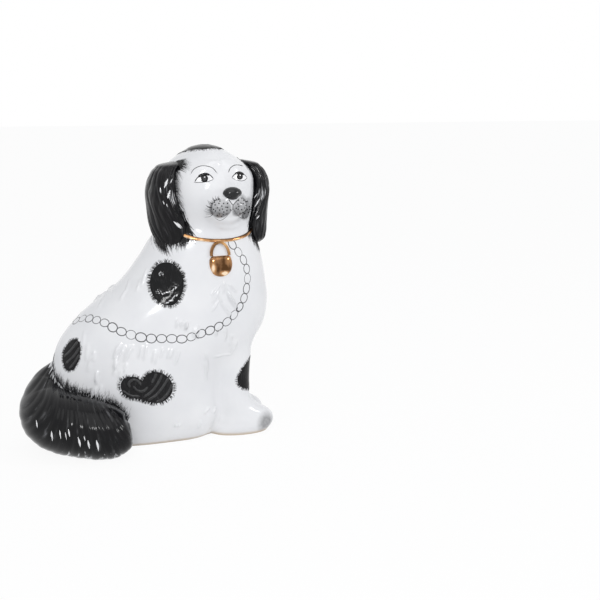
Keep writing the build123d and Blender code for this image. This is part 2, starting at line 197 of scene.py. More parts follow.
def slope_out(points):
    """Direction in which the way out of the clay grows fastest, from its differences over short steps."""
    step = 0.0002
    parts = [clay(points + step * axis) - clay(points - step * axis) for axis in np.eye(3)]
    return np.stack(parts, -1) / (2 * step)


def settle(points, rounds=6):
    """Points moved along the slope until they lie on the clay's skin, by a longest step a round."""
    longest = 0.004
    for _ in range(rounds):
        out = slope_out(points)
        steep = np.linalg.norm(out, axis=-1)
        points = points - (np.clip(clay(points) / steep, -longest, longest) / steep)[..., None] * out
    return points


def unit(vectors):
    """Vectors over their own lengths."""
    return vectors / np.linalg.norm(vectors, axis=-1, keepdims=True)


def normals(points):
    """Unit directions out of the clay's skin."""
    return unit(slope_out(points))


def collar_at(heading):
    """Height at which the outline crosses the tilted plane of the collar, by repeated steps."""
    face = math.radians(face_heading)
    middle = blend(levels, np.array(collar_height))
    height = np.full(heading.shape, collar_height)
    for _ in range(12):
        level = blend(levels, height)
        distance = outline(heading, level, height)
        ahead = (level[..., 0] + distance * np.cos(heading) - middle[0]) * math.cos(face)
        ahead = ahead + (level[..., 1] + distance * np.sin(heading) - middle[1]) * math.sin(face)
        height = collar_height - math.tan(collar_tilt) * ahead
    return height


def ring(heading, height, inset):
    """Points on the outline at a heading and height, drawn in by an inset."""
    level = blend(levels, height)
    distance = outline(heading, level, height) - inset
    return np.stack([
        level[..., 0] + distance * np.cos(heading), level[..., 1] + distance * np.sin(heading), height,
    ], -1)


def press(points, inside, most):
    """Skin points moved level and outwards from inside to the filleted clay, by a given way at most."""
    way = unit(points - inside)
    moved = np.zeros(points.shape[:-1])
    for _ in range(6):
        moved = np.clip(moved - clay(points + moved[..., None] * way), 0, most)
    return points + moved[..., None] * way


def sight(pixels):
    """Unit directions of sight through pixels of the picture."""
    across, down = (np.asarray(pixels, float)[..., k, None] - picture_pixels / 2 for k in (0, 1))
    return unit((across * view_right - down * view_up) / picture_distance - view_back)


def land(pixels):
    """Points where the lines of sight through pixels first meet the clay, found by steps of the depth
    that is left over the slope, from the nearest to the farthest place of the figure."""
    nearest, farthest, caution = 0.88, 1.3, 0.7
    way, start = sight(pixels), eye - figure_axis
    gone = np.full(way.shape[:-1], nearest)
    for _ in range(30):
        points = start + gone[..., None] * way
        step = caution * clay(points) / np.linalg.norm(slope_out(points), axis=-1)
        gone = np.clip(gone + step, nearest, farthest)
    return start + gone[..., None] * way


def curve(points, steps):
    """Smooth curve through points, at even steps of its length."""
    points = np.asarray(points, float)
    length = np.append(0, np.cumsum(np.linalg.norm(np.diff(points, axis=0), axis=-1)))
    return blend(np.column_stack([length, points]), np.linspace(0, length[-1], steps))


def mirror(points):
    """The same points on the figure's other flank."""
    return settle(points * [1, -1, 1])


def skin(name, rings, material, run_closed=False):
    """Mesh over stacks of rings of points, given as pieces by rings by points: quads between rings, and
    fans to the middle of the first and last ring. A piece whose signed volume comes out below zero has
    its faces turned. The UV map holds the way round a ring and the run."""
    pieces, run, around = rings.shape[:3]
    index = np.arange(pieces * run * around).reshape(pieces, run, around)
    lower, upper = (index, np.roll(index, -1, 1)) if run_closed else (index[:, :-1], index[:, 1:])
    quads = np.stack([lower, np.roll(lower, -1, 2), np.roll(upper, -1, 2), upper], -1)
    steps = lower.shape[1]
    u = np.broadcast_to(np.arange(around) / around, lower.shape)
    v = np.broadcast_to((np.arange(steps) / max(run - 1, 1))[:, None], lower.shape)
    far_u, far_v = u + 1 / around, v + 1 / max(run - 1, 1)
    quad_uv = np.stack([np.stack([u, far_u, far_u, u], -1), np.stack([v, v, far_v, far_v], -1)], -1)
    points = rings.reshape(-1, 3)
    corners = (points - rings.mean((1, 2)).repeat(run * around, 0))[quads]
    halves = np.cross(corners[..., 1, :], corners[..., 2, :])
    halves = halves + np.cross(corners[..., 2, :], corners[..., 3, :])
    turned = (corners[..., 0, :] * halves).sum((1, 2, 3)) < 0
    quads[turned], quad_uv[turned] = quads[turned][..., ::-1], quad_uv[turned][..., ::-1, :]
    faces, flow = quads.reshape(-1, 4).tolist(), [quad_uv.reshape(-1, 2)]
    if not run_closed:
        middles = len(points) + np.arange(2 * pieces).reshape(2, pieces, 1)
        points = np.vstack([points, rings[:, 0].mean(1), rings[:, -1].mean(1)])
        for end, edge, centre in ((0, index[:, 0], middles[0]), (1, index[:, -1], middles[1])):
            after = np.roll(edge, -1, 1)
            onward, back = np.stack([edge, after], -1), np.stack([after, edge], -1)
            pair = np.where(turned[:, None, None] ^ (end == 1), onward, back)
            wedges = np.concatenate([pair, np.broadcast_to(centre[..., None], (*edge.shape, 1))], -1)
            faces += wedges.reshape(-1, 3).tolist()
            flow.append(np.full((wedges.size, 2), [0.5, end]))
    mesh = bpy.data.meshes.new(name)
    mesh.from_pydata((points + figure_axis).tolist(), [], faces)
    mesh.uv_layers.new(name="flow").data.foreach_set("uv", np.vstack(flow).astype(np.float32).ravel())
    mesh.polygons.foreach_set("use_smooth", np.ones(len(faces), bool))
    mesh.materials.append(material)
    mesh.update()
    piece = bpy.data.objects.new(name, mesh)
    bpy.context.scene.collection.objects.link(piece)
    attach(piece, "root")
    return piece


def attribute(piece, name, values):
    """A number for each point of a piece, for its material to read. Middles of fans take zero."""
    layer = piece.data.attributes.new(name, "FLOAT", "POINT")
    values = np.append(values.ravel(), np.zeros(len(piece.data.vertices) - values.size))
    layer.data.foreach_set("value", values.astype(np.float32))


def finish_nodes(name, roughness, metallic=0.0, gloss=0.5):
    """New node material with its shader's plain gloss set, and the parts to wire it with."""
    material = bpy.data.materials.new(name)
    material.use_nodes = True
    nodes, links = material.node_tree.nodes, material.node_tree.links
    shader = nodes["Principled BSDF"]
    shader.inputs["Roughness"].default_value = roughness
    shader.inputs["Metallic"].default_value = metallic
    shader.inputs["Specular IOR Level"].default_value = gloss
    return material, nodes, links, shader


def mottle(nodes, links, scale, detail, stretch=(1, 1, 1), output="Object"):
    """Noise on Object or UV coordinates, stretched by its own mapping."""
    place, mapping, noise = (nodes.new("ShaderNode" + kind) for kind in ("TexCoord", "Mapping", "TexNoise"))
    mapping.inputs["Scale"].default_value = stretch
    noise.inputs["Scale"].default_value = scale
    noise.inputs["Detail"].default_value = detail
    links.new(place.outputs[output], mapping.inputs["Vector"])
    links.new(mapping.outputs["Vector"], noise.inputs["Vector"])
    return noise.outputs["Fac"]


def ramp(nodes, links, factor, stops):
    """Colour ramp through stops of place and colour."""
    colours = nodes.new("ShaderNodeValToRGB")
    first, last = colours.color_ramp.elements
    first.position, last.position = stops[0][0], stops[-1][0]
    for place, _ in stops[1:-1]:
        colours.color_ramp.elements.new(place)
    for element, (_, colour) in zip(colours.color_ramp.elements, stops):
        element.color = (*colour, 1)
    links.new(factor, colours.inputs["Fac"])
    return colours.outputs["Color"]


def unevenness(nodes, links, shader, factor, strength, distance):
    """Bump from a factor, wired to the shader."""
    bump = nodes.new("ShaderNodeBump")
    bump.inputs["Strength"].default_value = strength
    bump.inputs["Distance"].default_value = distance
    links.new(factor, bump.inputs["Height"])
    links.new(bump.outputs["Normal"], shader.inputs["Normal"])


def kept(nodes, name):
    """A number kept at the points of a piece."""
    reader = nodes.new("ShaderNodeAttribute")
    reader.attribute_name = name
    return reader.outputs["Fac"]


def combined(nodes, links, operation, one, other):
    """Two factors brought together by a sum, a product or the greater of the two."""
    both = nodes.new("ShaderNodeMath")
    both.operation = operation
    links.new(one, both.inputs[0])
    links.new(other, both.inputs[1])
    return both.outputs[0]


def laid_over(nodes, links, under, factor, colour):
    """A colour laid over another by a factor."""
    mix = nodes.new("ShaderNodeMix")
    mix.data_type = "RGBA"
    mix.inputs["B"].default_value = (*colour, 1)
    links.new(factor, mix.inputs["Factor"])
    links.new(under, mix.inputs["A"])
    return mix.outputs["Result"]


def strokes(seed, count, start, end, lean, length, wander):
    """Short strokes of hair in pixels, at even places along a line with some wander: each runs at a
    lean, in degrees from level, over a length."""
    luck = np.random.default_rng(seed)
    share = (np.arange(count) + 0.5) / count
    root = curve([start, end], 200)[(share * 199).astype(int)] + luck.normal(0, wander, (count, 2))
    angle = np.radians(lean + luck.normal(0, 6, count))
    run = length * luck.uniform(0.7, 1.2, count)
    return np.stack([root, root + np.stack([np.cos(angle), np.sin(angle)], -1) * run[:, None]], 1)


def hair_relief(points):
    """Rise of pressed hair and creases: for each stroke, a bell over the distance to it, tapered at
    both ends."""
    rise = np.zeros(points.shape[:-1])
    for (start, end), width, height in zip(combed, combed_width, combed_rise):
        run = end - start
        share = (points - start) @ run / (run @ run)
        away = points - start - np.clip(share, 0, 1)[..., None] * run
        taper = np.clip(1.15 - (2 * share - 1) ** 2, 0, 1)
        rise += height * taper * np.exp(-(away**2).sum(-1) / width**2)
    return rise


def haired(points, out):
    """Points of the clay lifted outwards with its pressed hair."""
    return points + out * hair_relief(points)[..., None]


levels = level_sizes()
foreleg_levels = foreleg_shares * [foreleg_height, trunk_length, paw_length, foreleg_width]

white_glaze, nodes, links, shader = finish_nodes("white_glaze", 0.12)
thick_glaze, thin_glaze = (0.755, 0.76, 0.78), (0.815, 0.817, 0.83)
grey_wash, rim_clay = (0.11, 0.11, 0.113), (0.56, 0.44, 0.30)
tone = ramp(nodes, links, mottle(nodes, links, 22, 3), [(0.3, thick_glaze), (0.7, thin_glaze)])
grain = ramp(nodes, links, mottle(nodes, links, 300, 3), [(0.3, (0.72, 0.72, 0.72)), (0.7, (1, 1, 1))])
speckle = combined(nodes, links, "MULTIPLY", kept(nodes, "wash"), grain)
place, upright = nodes.new("ShaderNodeTexCoord"), nodes.new("ShaderNodeSeparateXYZ")
links.new(place.outputs["Object"], upright.inputs[0])
rim = ramp(nodes, links, upright.outputs["Z"], [(0.0008, (1, 1, 1)), (0.0018, (0, 0, 0))])
tone = laid_over(nodes, links, laid_over(nodes, links, tone, speckle, grey_wash), rim, rim_clay)
links.new(tone, shader.inputs["Base Color"])
unevenness(nodes, links, shader, mottle(nodes, links, 70, 2), 0.25, 0.0006)

# Pressed hair, in pixels: fans of locks on the chest, above the flank and the haunch, and on the feet
chest_hair = np.array([
    [(224, 280), (224, 294)], [(224, 283), (232.3, 303)], [(227.7, 283), (236.8, 292.3)],
    [(221.4, 283), (211.4, 296)], [(217.7, 294), (226, 311.4)], [(227, 292), (236, 306)],
    [(220, 288), (213, 303)], [(230, 296), (238, 312)], [(219, 300), (212, 312)], [(224, 302), (231, 318)],
])
foot_hair = np.array([
    [(203.8, 413.8), (209.4, 407.5)], [(213, 413), (215.6, 407.5)], [(197.5, 428.8), (201.9, 420)],
    [(175, 427), (176.5, 423)], [(178.5, 427), (179.5, 423)], [(206.9, 380), (205, 361.3)],
    [(213.8, 356.9), (232.5, 353.8)], [(208, 372), (206, 352)],
])
flank_hair = np.concatenate([
    chest_hair,
    foot_hair,
    strokes(1, 7, (116, 345), (136, 345), 112, 17, 1.5),
    strokes(2, 8, (140, 347), (182, 349), 104, 15, 1.5),
    strokes(3, 6, (112, 360), (128, 364), 110, 12, 2),
    strokes(4, 9, (178, 318), (205, 326), 100, 9, 2.5),
    strokes(5, 9, (86, 330), (104, 402), 100, 16, 3),
    strokes(6, 6, (222, 320), (238, 345), 100, 14, 3),
    strokes(7, 7, (100, 300), (150, 270), 118, 16, 4),
    [[(156, 290), (162.5, 294.5)], [(162.5, 294.5), (169, 291.5)], [(172.5, 291.5), (175.7, 287.5)]],
    [[(166.8, 302.9), (172.5, 300)], [(172.5, 300), (176.4, 294.3)], [(160, 272), (162, 276)]],
])
face_creases = np.array([
    [(184, 161.5), (219, 164.2)], [(206, 164.4), (238, 160.5)], [(218, 226.0), (240, 226.0)],
])
hair_width, hair_rise, crease_width, crease_rise = 0.0012, 0.0016, 0.0028, 0.0015
combed = land(np.concatenate([flank_hair, face_creases]))
combed = np.concatenate([combed, mirror(combed[:len(flank_hair)])])
combed_width, combed_rise = np.full(len(combed), hair_width), np.full(len(combed), hair_rise)
of_face = slice(len(flank_hair), len(flank_hair) + len(face_creases))
combed_width[of_face], combed_rise[of_face] = crease_width, crease_rise

heading = np.radians(np.linspace(0, 360, body_columns, endpoint=False))
top = collar_at(heading)
height = np.linspace(0, 1, body_rows)[:, None] * top
turned_in = np.clip(1 - height / foot_round, 0, 1)
flank = ring(heading + 0 * height, height, foot_round * (1 - np.sqrt(1 - turned_in**2)))
inside = np.concatenate([blend(levels, height)[..., :2], height[..., None]], -1)
flank = press(flank, inside, leg_fillet / 2)
flank = haired(flank, normals(flank))
sole_edge = foot_round + 0.0006
sole = [ring(heading, np.full_like(heading, up), inset) for up, inset in (
    (slab_middle, clay_wall), (0, clay_wall), (0, sole_edge),
)]
# The skin turns in at the collar by steps away from it and inwards
joint_steps = ((0.0005, 0.004), (0.002, 0.02))
neck = [ring(heading, top - drop, inset) for drop, inset in joint_steps]
body = skin("body", np.stack(sole + list(flank) + neck)[None], white_glaze)
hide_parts("body_right_half", "body_left_half")

smudge_reach, smudge_grey = 0.013, 0.75
smudge_middle = land(np.array([(266.5, 422.5)]))[0]


def smudge(points):
    """Share of grey wash rubbed on the toes of the right paw, fading from its middle outwards."""
    away = np.linalg.norm(points - smudge_middle, axis=-1)
    return smudge_grey * np.clip((smudge_reach - away) / (0.6 * smudge_reach), 0, 1)


leg_rows, leg_columns, leg_top, leg_fade, leg_taper = 120, 96, 0.122, 0.030, 0.012
turn = np.radians(np.linspace(0, 360, leg_columns, endpoint=False))
for side, node in ((-1, "foreleg_right"), (1, "foreleg_left")):
    height = (np.linspace(0, 1, leg_rows) ** 1.3 * leg_top)[:, None] + 0 * turn
    level = blend(foreleg_levels, height)
    shrink = foot_round * (1 - np.sqrt(1 - np.clip(1 - height / foot_round, 0, 1) ** 2))
    fade = np.clip((leg_top - height) / leg_fade, 0, 1)
    shrink = shrink + leg_taper * (1 - fade) ** 2
    middle = np.stack([level[..., 0], side * foreleg_spacing / 2 + 0 * height, height], -1)
    along, across = np.cos(turn) * (level[..., 1] - shrink), np.sin(turn) * (level[..., 2] - shrink)
    leg_rings = press(middle + np.stack([along, across, 0 * height], -1), middle, leg_fillet / 2 * fade)
    leg = skin(node + "_skin", leg_rings[None], white_glaze)
    attribute(leg, "wash", smudge(leg_rings))
    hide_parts(node)


# Base: the slab of clay that closes the hollow figure from below, with the vent hole left open. It
# stands on the kiln shelf, so it has no glaze and shows the buff biscuit.
def mottled(name, roughness, scale, detail, stops, gloss=0.5, metallic=0.0, stretch=(1, 1, 1), bumps=None):
    """Material whose colour runs through stops by a noise. Its bumps, where given, are a second noise:
    scale and detail, then strength and depth."""
    material, nodes, links, shader = finish_nodes(name, roughness, metallic, gloss)
    tone = ramp(nodes, links, mottle(nodes, links, scale, detail, stretch), stops)
    links.new(tone, shader.inputs["Base Color"])
    if bumps:
        unevenness(nodes, links, shader, mottle(nodes, links, *bumps[:2]), *bumps[2:])
    return material


def dress(node, material):
    """A node of the CAD model kept as it is, in its own finish."""
    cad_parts[node].data.materials.clear()
    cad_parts[node].data.materials.append(material)


dress("base_slab", mottled("bare_clay", 0.85, 90, 6, [(0.3, (0.52, 0.42, 0.29)), (0.7, (0.68, 0.57, 0.42))]))


# Head: the face half and the back half of a second mould, luted together ear to ear and set on the
# neck at the collar. Brows, muzzle, whisker pads and chin are pressed relief, softened by the glaze,
# and the pads are rubbed with a grey wash, made darker towards the bottom of each pad as painted shade.
head_rows, head_columns, face_crowding = 190, 380, 0.45
turn = np.linspace(-math.pi, math.pi, head_columns, endpoint=False)
heading = math.radians(face_heading) + turn - face_crowding * np.sin(turn)
top = collar_at(heading)
share = np.sin(np.linspace(0, math.pi / 2, head_rows))[:, None]
height = top + (figure_height - top) * share
crown = ring(heading + 0 * height, height, 0 * height)
crown = haired(crown, normals(crown))
neck = [ring(heading, top + rise, inset) for rise, inset in joint_steps[::-1]]
head_rings = np.stack(neck + list(crown))
head = skin("head", head_rings[None], white_glaze)
pad_reach, pad_shade_depth, pad_grey = 0.0128, 0.024, 0.95
pad_middles = land(np.array([(220.8, 211.0), (243.8, 208.8), (247.4, 208.6)]))
away = np.linalg.norm(head_rings[..., None, :] - pad_middles, axis=-1)
edge = np.clip((pad_reach - away) / (0.2 * pad_reach), 0, 1)
# Painted shade: the grey wash grows darker towards the bottom of each pad.
down = np.clip(0.85 - (head_rings[..., 2, None] - pad_middles[:, 2]) / pad_shade_depth, 0.4, 1)
attribute(head, "wash", (pad_grey * edge * down).max(-1))
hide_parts("head_face_half", "head_back_half")


# Ears: long hanging ears pressed in their own moulds, grooved as locks of hair and luted to the head.
# They are brushed black along the hair, and some glaze is left bare in front and at the tips.
ear_length, ear_drop, ear_thickness, ear_breadth, ear_overhang = 0.082, 0.0265, 0.026, 0.049, 0.0055
# Shares from the tip up: height, stand-off, forward, thickness, breadth and turn towards the throat
ear_shares = np.array([
    (0.00, 0.93, 0.33, 0.12, 0.10, 32.0),
    (0.035, 0.93, 0.33, 0.25, 0.23, 32.0),
    (0.11, 0.93, 0.29, 0.37, 0.36, 30.0),
    (0.24, 0.94, 0.21, 0.45, 0.45, 24.0),
    (0.45, 0.97, 0.10, 0.50, 0.50, 10.0),
    (0.67, 1.00, 0.05, 0.50, 0.49, 2.0),
    (0.82, 0.96, 0.05, 0.48, 0.43, 0.0),
    (0.92, 0.88, 0.05, 0.42, 0.35, 0.0),
    (0.978, 0.77, 0.05, 0.31, 0.25, 0.0),
    (1.00, 0.67, 0.05, 0.12, 0.10, 0.0),
])
ear_rows, ear_columns, ear_locks, lock_wander, lock_depth = 150, 180, 13, 0.9, 0.0009


def ear_at(share, turn, side, groove):
    """Points of an ear: an oval at each share of its length, turned towards the throat, its skin
    drawn in by a groove."""
    out, forward, thick, broad, twist = (blend(ear_shares, share)[..., k] for k in range(5))
    middle = blend(levels, np.array(collar_height))
    face, twist = math.radians(face_heading), np.radians(twist)
    thick = (thick * ear_thickness - groove) * np.cos(turn)
    broad = (broad * ear_breadth - groove) * np.sin(turn)
    aside = side * (out * (head_width / 2 + ear_overhang) + thick * np.cos(twist) - broad * np.sin(twist))
    ahead = forward * ear_breadth + broad * np.cos(twist) + thick * np.sin(twist)
    return np.stack([
        middle[0] + ahead * math.cos(face) - aside * math.sin(face),
        middle[1] + ahead * math.sin(face) + aside * math.cos(face),
        collar_height - ear_drop + share * ear_length,
    ], -1)


def locks_of(turn, share, count, wander):
    """Depth share of hair grooves: narrow valleys between rounded locks, wandering along the run."""
    phase = count * turn / 2 + wander * np.sin(5 * share + 2 * turn)
    phase = phase + 0.5 * wander * np.sin(13 * share + 5 * turn)
    fine = 0.25 * (1 - np.abs(np.sin(3.1 * phase + 1)))
    return (1 - np.abs(np.sin(phase))) ** 2 + fine


def brushed_hair(name, stretch):
    """Black enamel brushed on along the hair: grey where it is thin, and white glaze where the
    attribute "bare" and the streaks leave it off."""
    material, nodes, links, shader = finish_nodes(name, 0.13, gloss=0.2)
    streak = mottle(nodes, links, 1, 4, stretch, "UV")
    black = ramp(nodes, links, streak, [
        (0.48, (0.003, 0.003, 0.004)), (0.60, (0.009, 0.009, 0.01)),
        (0.70, (0.05, 0.05, 0.053)), (0.82, (0.2, 0.2, 0.21)),
    ])
    gaps = mottle(nodes, links, 1, 3, tuple(1.6 * k for k in stretch), "UV")
    left_off = combined(nodes, links, "ADD", kept(nodes, "bare"), gaps)
    white = ramp(nodes, links, left_off, [(0.86, (0, 0, 0)), (1.0, (1, 1, 1))])
    links.new(laid_over(nodes, links, black, white, (0.72, 0.725, 0.74)), shader.inputs["Base Color"])
    unevenness(nodes, links, shader, streak, 0.5, 0.0005)
    return material


def bell(value, middle, spread):
    """A bell of height one about a middle."""
    return np.exp(-(((value - middle) / spread) ** 2))


def bells(places, one, other):
    """Sum of bells over two measures, each given as how much, then middle and spread in both."""
    return sum(much * bell(one, *here) * bell(other, *there) for much, here, there in places)


def whole_turn(count):
    """Even places round a whole turn, in radians."""
    return np.linspace(0, 2 * math.pi, count, endpoint=False)


ear_hair = brushed_hair("ear_hair", (40, 5, 1))
turn = whole_turn(ear_columns)
share = ((1 - np.cos(np.linspace(0, math.pi, ear_rows))) / 2)[:, None] + 0 * turn
ends = np.minimum(1, share / 0.1) * np.minimum(1, (1 - share) / 0.1)
deeper_low = 1 + np.clip(1 - share / 0.25, 0, 1)
groove = lock_depth * locks_of(turn, share, ear_locks, lock_wander) * ends * deeper_low
# Bare glaze, by degrees round the ear and share up it: down its front, near the face, low, and at the tip
bare_places = [(0.34, (98, 26), (0.60, 0.26)), (0.30, (55, 16), (0.66, 0.1)), (0.24, (66, 22), (0.27, 0.08))]
bare = bells(bare_places, np.degrees(turn), share) + 0.32 * bell(share, -0.02, 0.09)
ear_grids, ears = [], []
for side, node in ((-1, "ear_right"), (1, "ear_left")):
    ear_grids.append(ear_at(share, turn, side, groove))
    ear = skin(node + "_hair", ear_grids[-1][None], ear_hair)
    ears.append(ear)
    attribute(ear, "bare", bare)
    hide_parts(node)


# Tail: a thick hollow tail pressed by itself and luted to the rump, wrapped round the right haunch.
# Its hair is grooved and brushed like a fan that spreads from over the root.
tail_width, tail_height = 0.063, 0.062
# Stations from root to tip: along, across and up, half width and half height as shares
tail_shares = np.array([
    (-0.420, 0.10, 0.253, 0.19, 0.22),
    (-0.495, 0.02, 0.185, 0.35, 0.39),
    (-0.525, -0.16, 0.133, 0.45, 0.465),
    (-0.485, -0.37, 0.111, 0.50, 0.48),
    (-0.380, -0.54, 0.099, 0.49, 0.47),
    (-0.270, -0.65, 0.086, 0.44, 0.42),
    (-0.200, -0.70, 0.085, 0.32, 0.31),
    (-0.170, -0.71, 0.088, 0.13, 0.13),
])
tail_rows, tail_columns = 260, 150
fan_along, fan_up, fan_lock, broad_groove, fine_groove = -0.080, 0.095, 0.055, 0.0005, 0.0004
lock_sway, sway_length = 0.6, 0.012


def tail_at(run, turn, groove):
    """Points of the tail: an oval square to its run at each station, drawn in by a groove, and
    flattened where it rests on the ground."""
    sizes = tail_shares * [trunk_length, trunk_depth, figure_height, tail_width, tail_height]
    table = np.column_stack([np.arange(len(sizes)), sizes])
    last, step = len(sizes) - 1, 0.05
    station = blend(table, run * last)
    along = blend(table, np.clip(run * last + step, 0, last))
    along = unit((along - blend(table, np.clip(run * last - step, 0, None)))[..., :3])
    beside = unit(np.cross(along, [0, 0, 1]))
    over = np.cross(beside, along)
    wide, high = station[..., 3] - groove, station[..., 4] - groove
    points = station[..., :3] + beside * (wide * np.cos(turn))[..., None]
    points = points + over * (high * np.sin(turn))[..., None]
    points[..., 2] = np.maximum(points[..., 2], 0)
    return points


def fan(points):
    """Place in a fan of hair seen from the side: the angle from straight down about the fan's middle,
    and the distance from it."""
    ahead, down = points[..., 0] - fan_along, fan_up - points[..., 2]
    return np.arctan2(ahead, down), np.hypot(ahead, down)


def spots_of(piece):
    """Points of a piece's mesh."""
    spots = np.empty(3 * len(piece.data.vertices))
    piece.data.vertices.foreach_get("co", spots)
    return spots.reshape(-1, 3)


turn = whole_turn(tail_columns)
run = np.linspace(0, 1, tail_rows)[:, None] + 0 * turn
angle, reach = fan(tail_at(run, turn, 0))
wave = angle / fan_lock + lock_sway * np.sin(reach / sway_length + 3 * turn)
groove = broad_groove * (1 - np.abs(np.sin(wave))) + fine_groove * (1 - np.abs(np.sin(2.3 * wave + 1)))
groove = groove * np.minimum(1, run / 0.06) * np.minimum(1, (1 - run) / 0.04)
tail_grid = tail_at(run, turn, groove)
tail = skin("tail_hair", tail_grid[None], brushed_hair("tail_hair", (56, 6, 1)))
corners = np.empty(len(tail.data.loops), int)
tail.data.loops.foreach_get("vertex_index", corners)
angle, reach = fan(spots_of(tail) - figure_axis)
brushed_way = np.stack([angle / math.pi, reach / 0.1], -1)[corners]
tail.data.uv_layers["flow"].data.foreach_set("uv", brushed_way.astype(np.float32).ravel())
# Bare glaze shows at the root, near the ground and at the tip
root_bare, root_fade, ground_bare, ground_fade, tip_bare = 0.43, 0.0070, 0.5, 0.024, 0.16
near_body = bell(clay(tail_grid), 0, root_fade) * (tail_grid[..., 2] > 0.02)
low = np.clip(1 - tail_grid[..., 2] / ground_fade, 0, 1)
attribute(tail, "bare", root_bare * near_body + ground_bare * low + tip_bare * bell(run, 1, 0.05))
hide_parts("tail")


# Nose: a button of clay set on the end of the muzzle, broad above and pinched to the lip below, with
# two nostrils pressed in. It is dipped in black enamel and is the glossiest place of the face.
nose_width, nose_height, nose_depth, nose_up = 0.019, 0.0125, 0.014, 0.849 * figure_height
nose_ahead, nose_aside = 0.0009, 0.0006
# As shares of the button's half width and half height
lip_pinch, nostril_aside, nostril_down, nostril_spread, nostril_depth = 0.3, 0.62, 0.45, 0.045, 0.35

face = math.radians(face_heading)
face_ahead = np.array([math.cos(face), math.sin(face), 0])
face_aside = np.array([-math.sin(face), math.cos(face), 0])
level = blend(levels, np.array(nose_up))
nose_out = outline(np.array(face), level, np.array(nose_up)) + nose_ahead
nose_centre = np.array([level[0], level[1], nose_up]) + nose_out * face_ahead + nose_aside * face_aside
turn = whole_turn(96)
rise = np.linspace(-math.pi / 2, math.pi / 2, 60)[1:-1, None] + 0 * turn
ahead, aside, up = np.cos(rise) * np.cos(turn), np.cos(rise) * np.sin(turn), np.sin(rise)
pinch = 1 - lip_pinch * np.clip(-up, 0, 1)
away = [(aside - side * nostril_aside) ** 2 + (up + nostril_down) ** 2 for side in (-1, 1)]
nostril = sum(np.exp(-square / nostril_spread) for square in away)
ahead = ahead - nostril_depth * nostril * (ahead > 0)
nose_points = nose_centre + ahead[..., None] * face_ahead * nose_depth / 2
nose_points = nose_points + (aside * pinch)[..., None] * face_aside * nose_width / 2
nose_points = nose_points + up[..., None] * [0, 0, nose_height / 2]
black_gloss = mottled("black_gloss", 0.09, 260, 3, [
    (0.35, (0.004, 0.004, 0.005)), (0.75, (0.014, 0.014, 0.015)),
], gloss=0.36)
nose = skin("nose_button", nose_points[None], black_gloss)
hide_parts("nose")


# Collar: a thin raised bead of clay over the joint of head and neck, gilt after the glaze firing. The
# gold is burnished; it is painted lighter along the bead's lower edge as a highlight, and darker brown
# along its upper edge and on the front of its right side as painted shade.
band_half, band_rise, band_set = 0.0016, 0.0013, 0.0012
gilding_with_painted_sheen, nodes, links, shader = finish_nodes("gilding_with_painted_sheen", 0.13, 1.0)
# The attribute "edge" carries painted highlight and painted shade on the gold; the noise adds wear.
painted_sheen_and_wear = combined(nodes, links, "MULTIPLY", kept(nodes, "edge"), mottle(nodes, links, 150, 3, (1, 1, 0.6)))
tone = ramp(nodes, links, painted_sheen_and_wear, [
    (0.22, (0.10, 0.048, 0.020)), (0.30, (0.24, 0.125, 0.060)),
    (0.55, (0.56, 0.29, 0.12)), (0.85, (1.0, 0.80, 0.58)),
])
links.new(tone, shader.inputs["Base Color"])

heading = np.radians(np.linspace(0, 360, 360, endpoint=False))
turn = whole_turn(16)[:, None]
inset = -(band_rise - band_set) / 2 - (band_rise + band_set) / 2 * np.cos(turn)
band = ring(heading + 0 * turn, collar_at(heading) + band_half * np.sin(turn), inset)
band = skin("collar_bead", band.transpose(1, 0, 2)[None], gilding_with_painted_sheen, run_closed=True)
# Painted highlight along the bead's lower edge, painted shade along its upper edge and at the front right
thick = 1.15 - 0.55 * np.sin(turn.T) - 0.35 * bell(np.degrees(heading)[:, None], 305, 25)
attribute(band, "edge", thick)
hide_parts("collar_band")


# Enamel painting: black brushwork laid on by hand over the glaze and fired. Each line, patch and dot is
# a thin raised skin of enamel, with its edges set just into the glaze. The patches have hairy edges.
paint_rise, paint_set = 0.00010, 0.00006


def lens(name, line, out, half_width, material, closed=False, rise=paint_rise):
    """Thin raised lines: a flat lens across each run of points, as wide as given at each point."""
    ahead = np.roll(line, -1, 1) - np.roll(line, 1, 1) if closed else np.gradient(line, axis=1)
    beside = unit(np.cross(out, ahead)) * np.asarray(half_width)[..., None]
    sunk = line - out * paint_set
    section = [sunk - beside, line + out * rise, sunk + beside, sunk - 2 * out * paint_set]
    piece = skin(name, np.stack(section, 2), material, closed)


def thread(name, line, half_width, material, closed=False, rise=paint_rise):
    """Lines on the clay, lifted with its pressed hair."""
    out = normals(line)
    lens(name, haired(line, out), out, half_width, material, closed, rise)


def hairs(name, lines, half_width, material, steps=7):
    """Brushed hairs: threads through the points of each line, broad at the root and fine at the tip."""
    share = np.linspace(0, 1, steps)
    spots = np.stack([curve(line, steps) for line in lines])
    width = half_width * np.clip(1.15 - share, 0.06, 1) * np.minimum(1, 0.35 + 4 * share)
    thread(name, settle(spots, 3), width, material)


def patch(name, points, material, lift=1.0):
    """Painted patch: points from the middle to the rim and around it, raised, with the rim sunk."""
    out = normals(points)
    points = haired(points, out)
    share = np.linspace(0, 1, len(points))[:, None, None]
    top = points + out * (lift * paint_rise * np.sqrt(np.clip(1 - share**6, 0, 1)) - paint_set * share**6)
    under = points[-1] - out[-1] * 6 * paint_set
    piece = skin(name, np.concatenate([top, under[None]])[None], material)


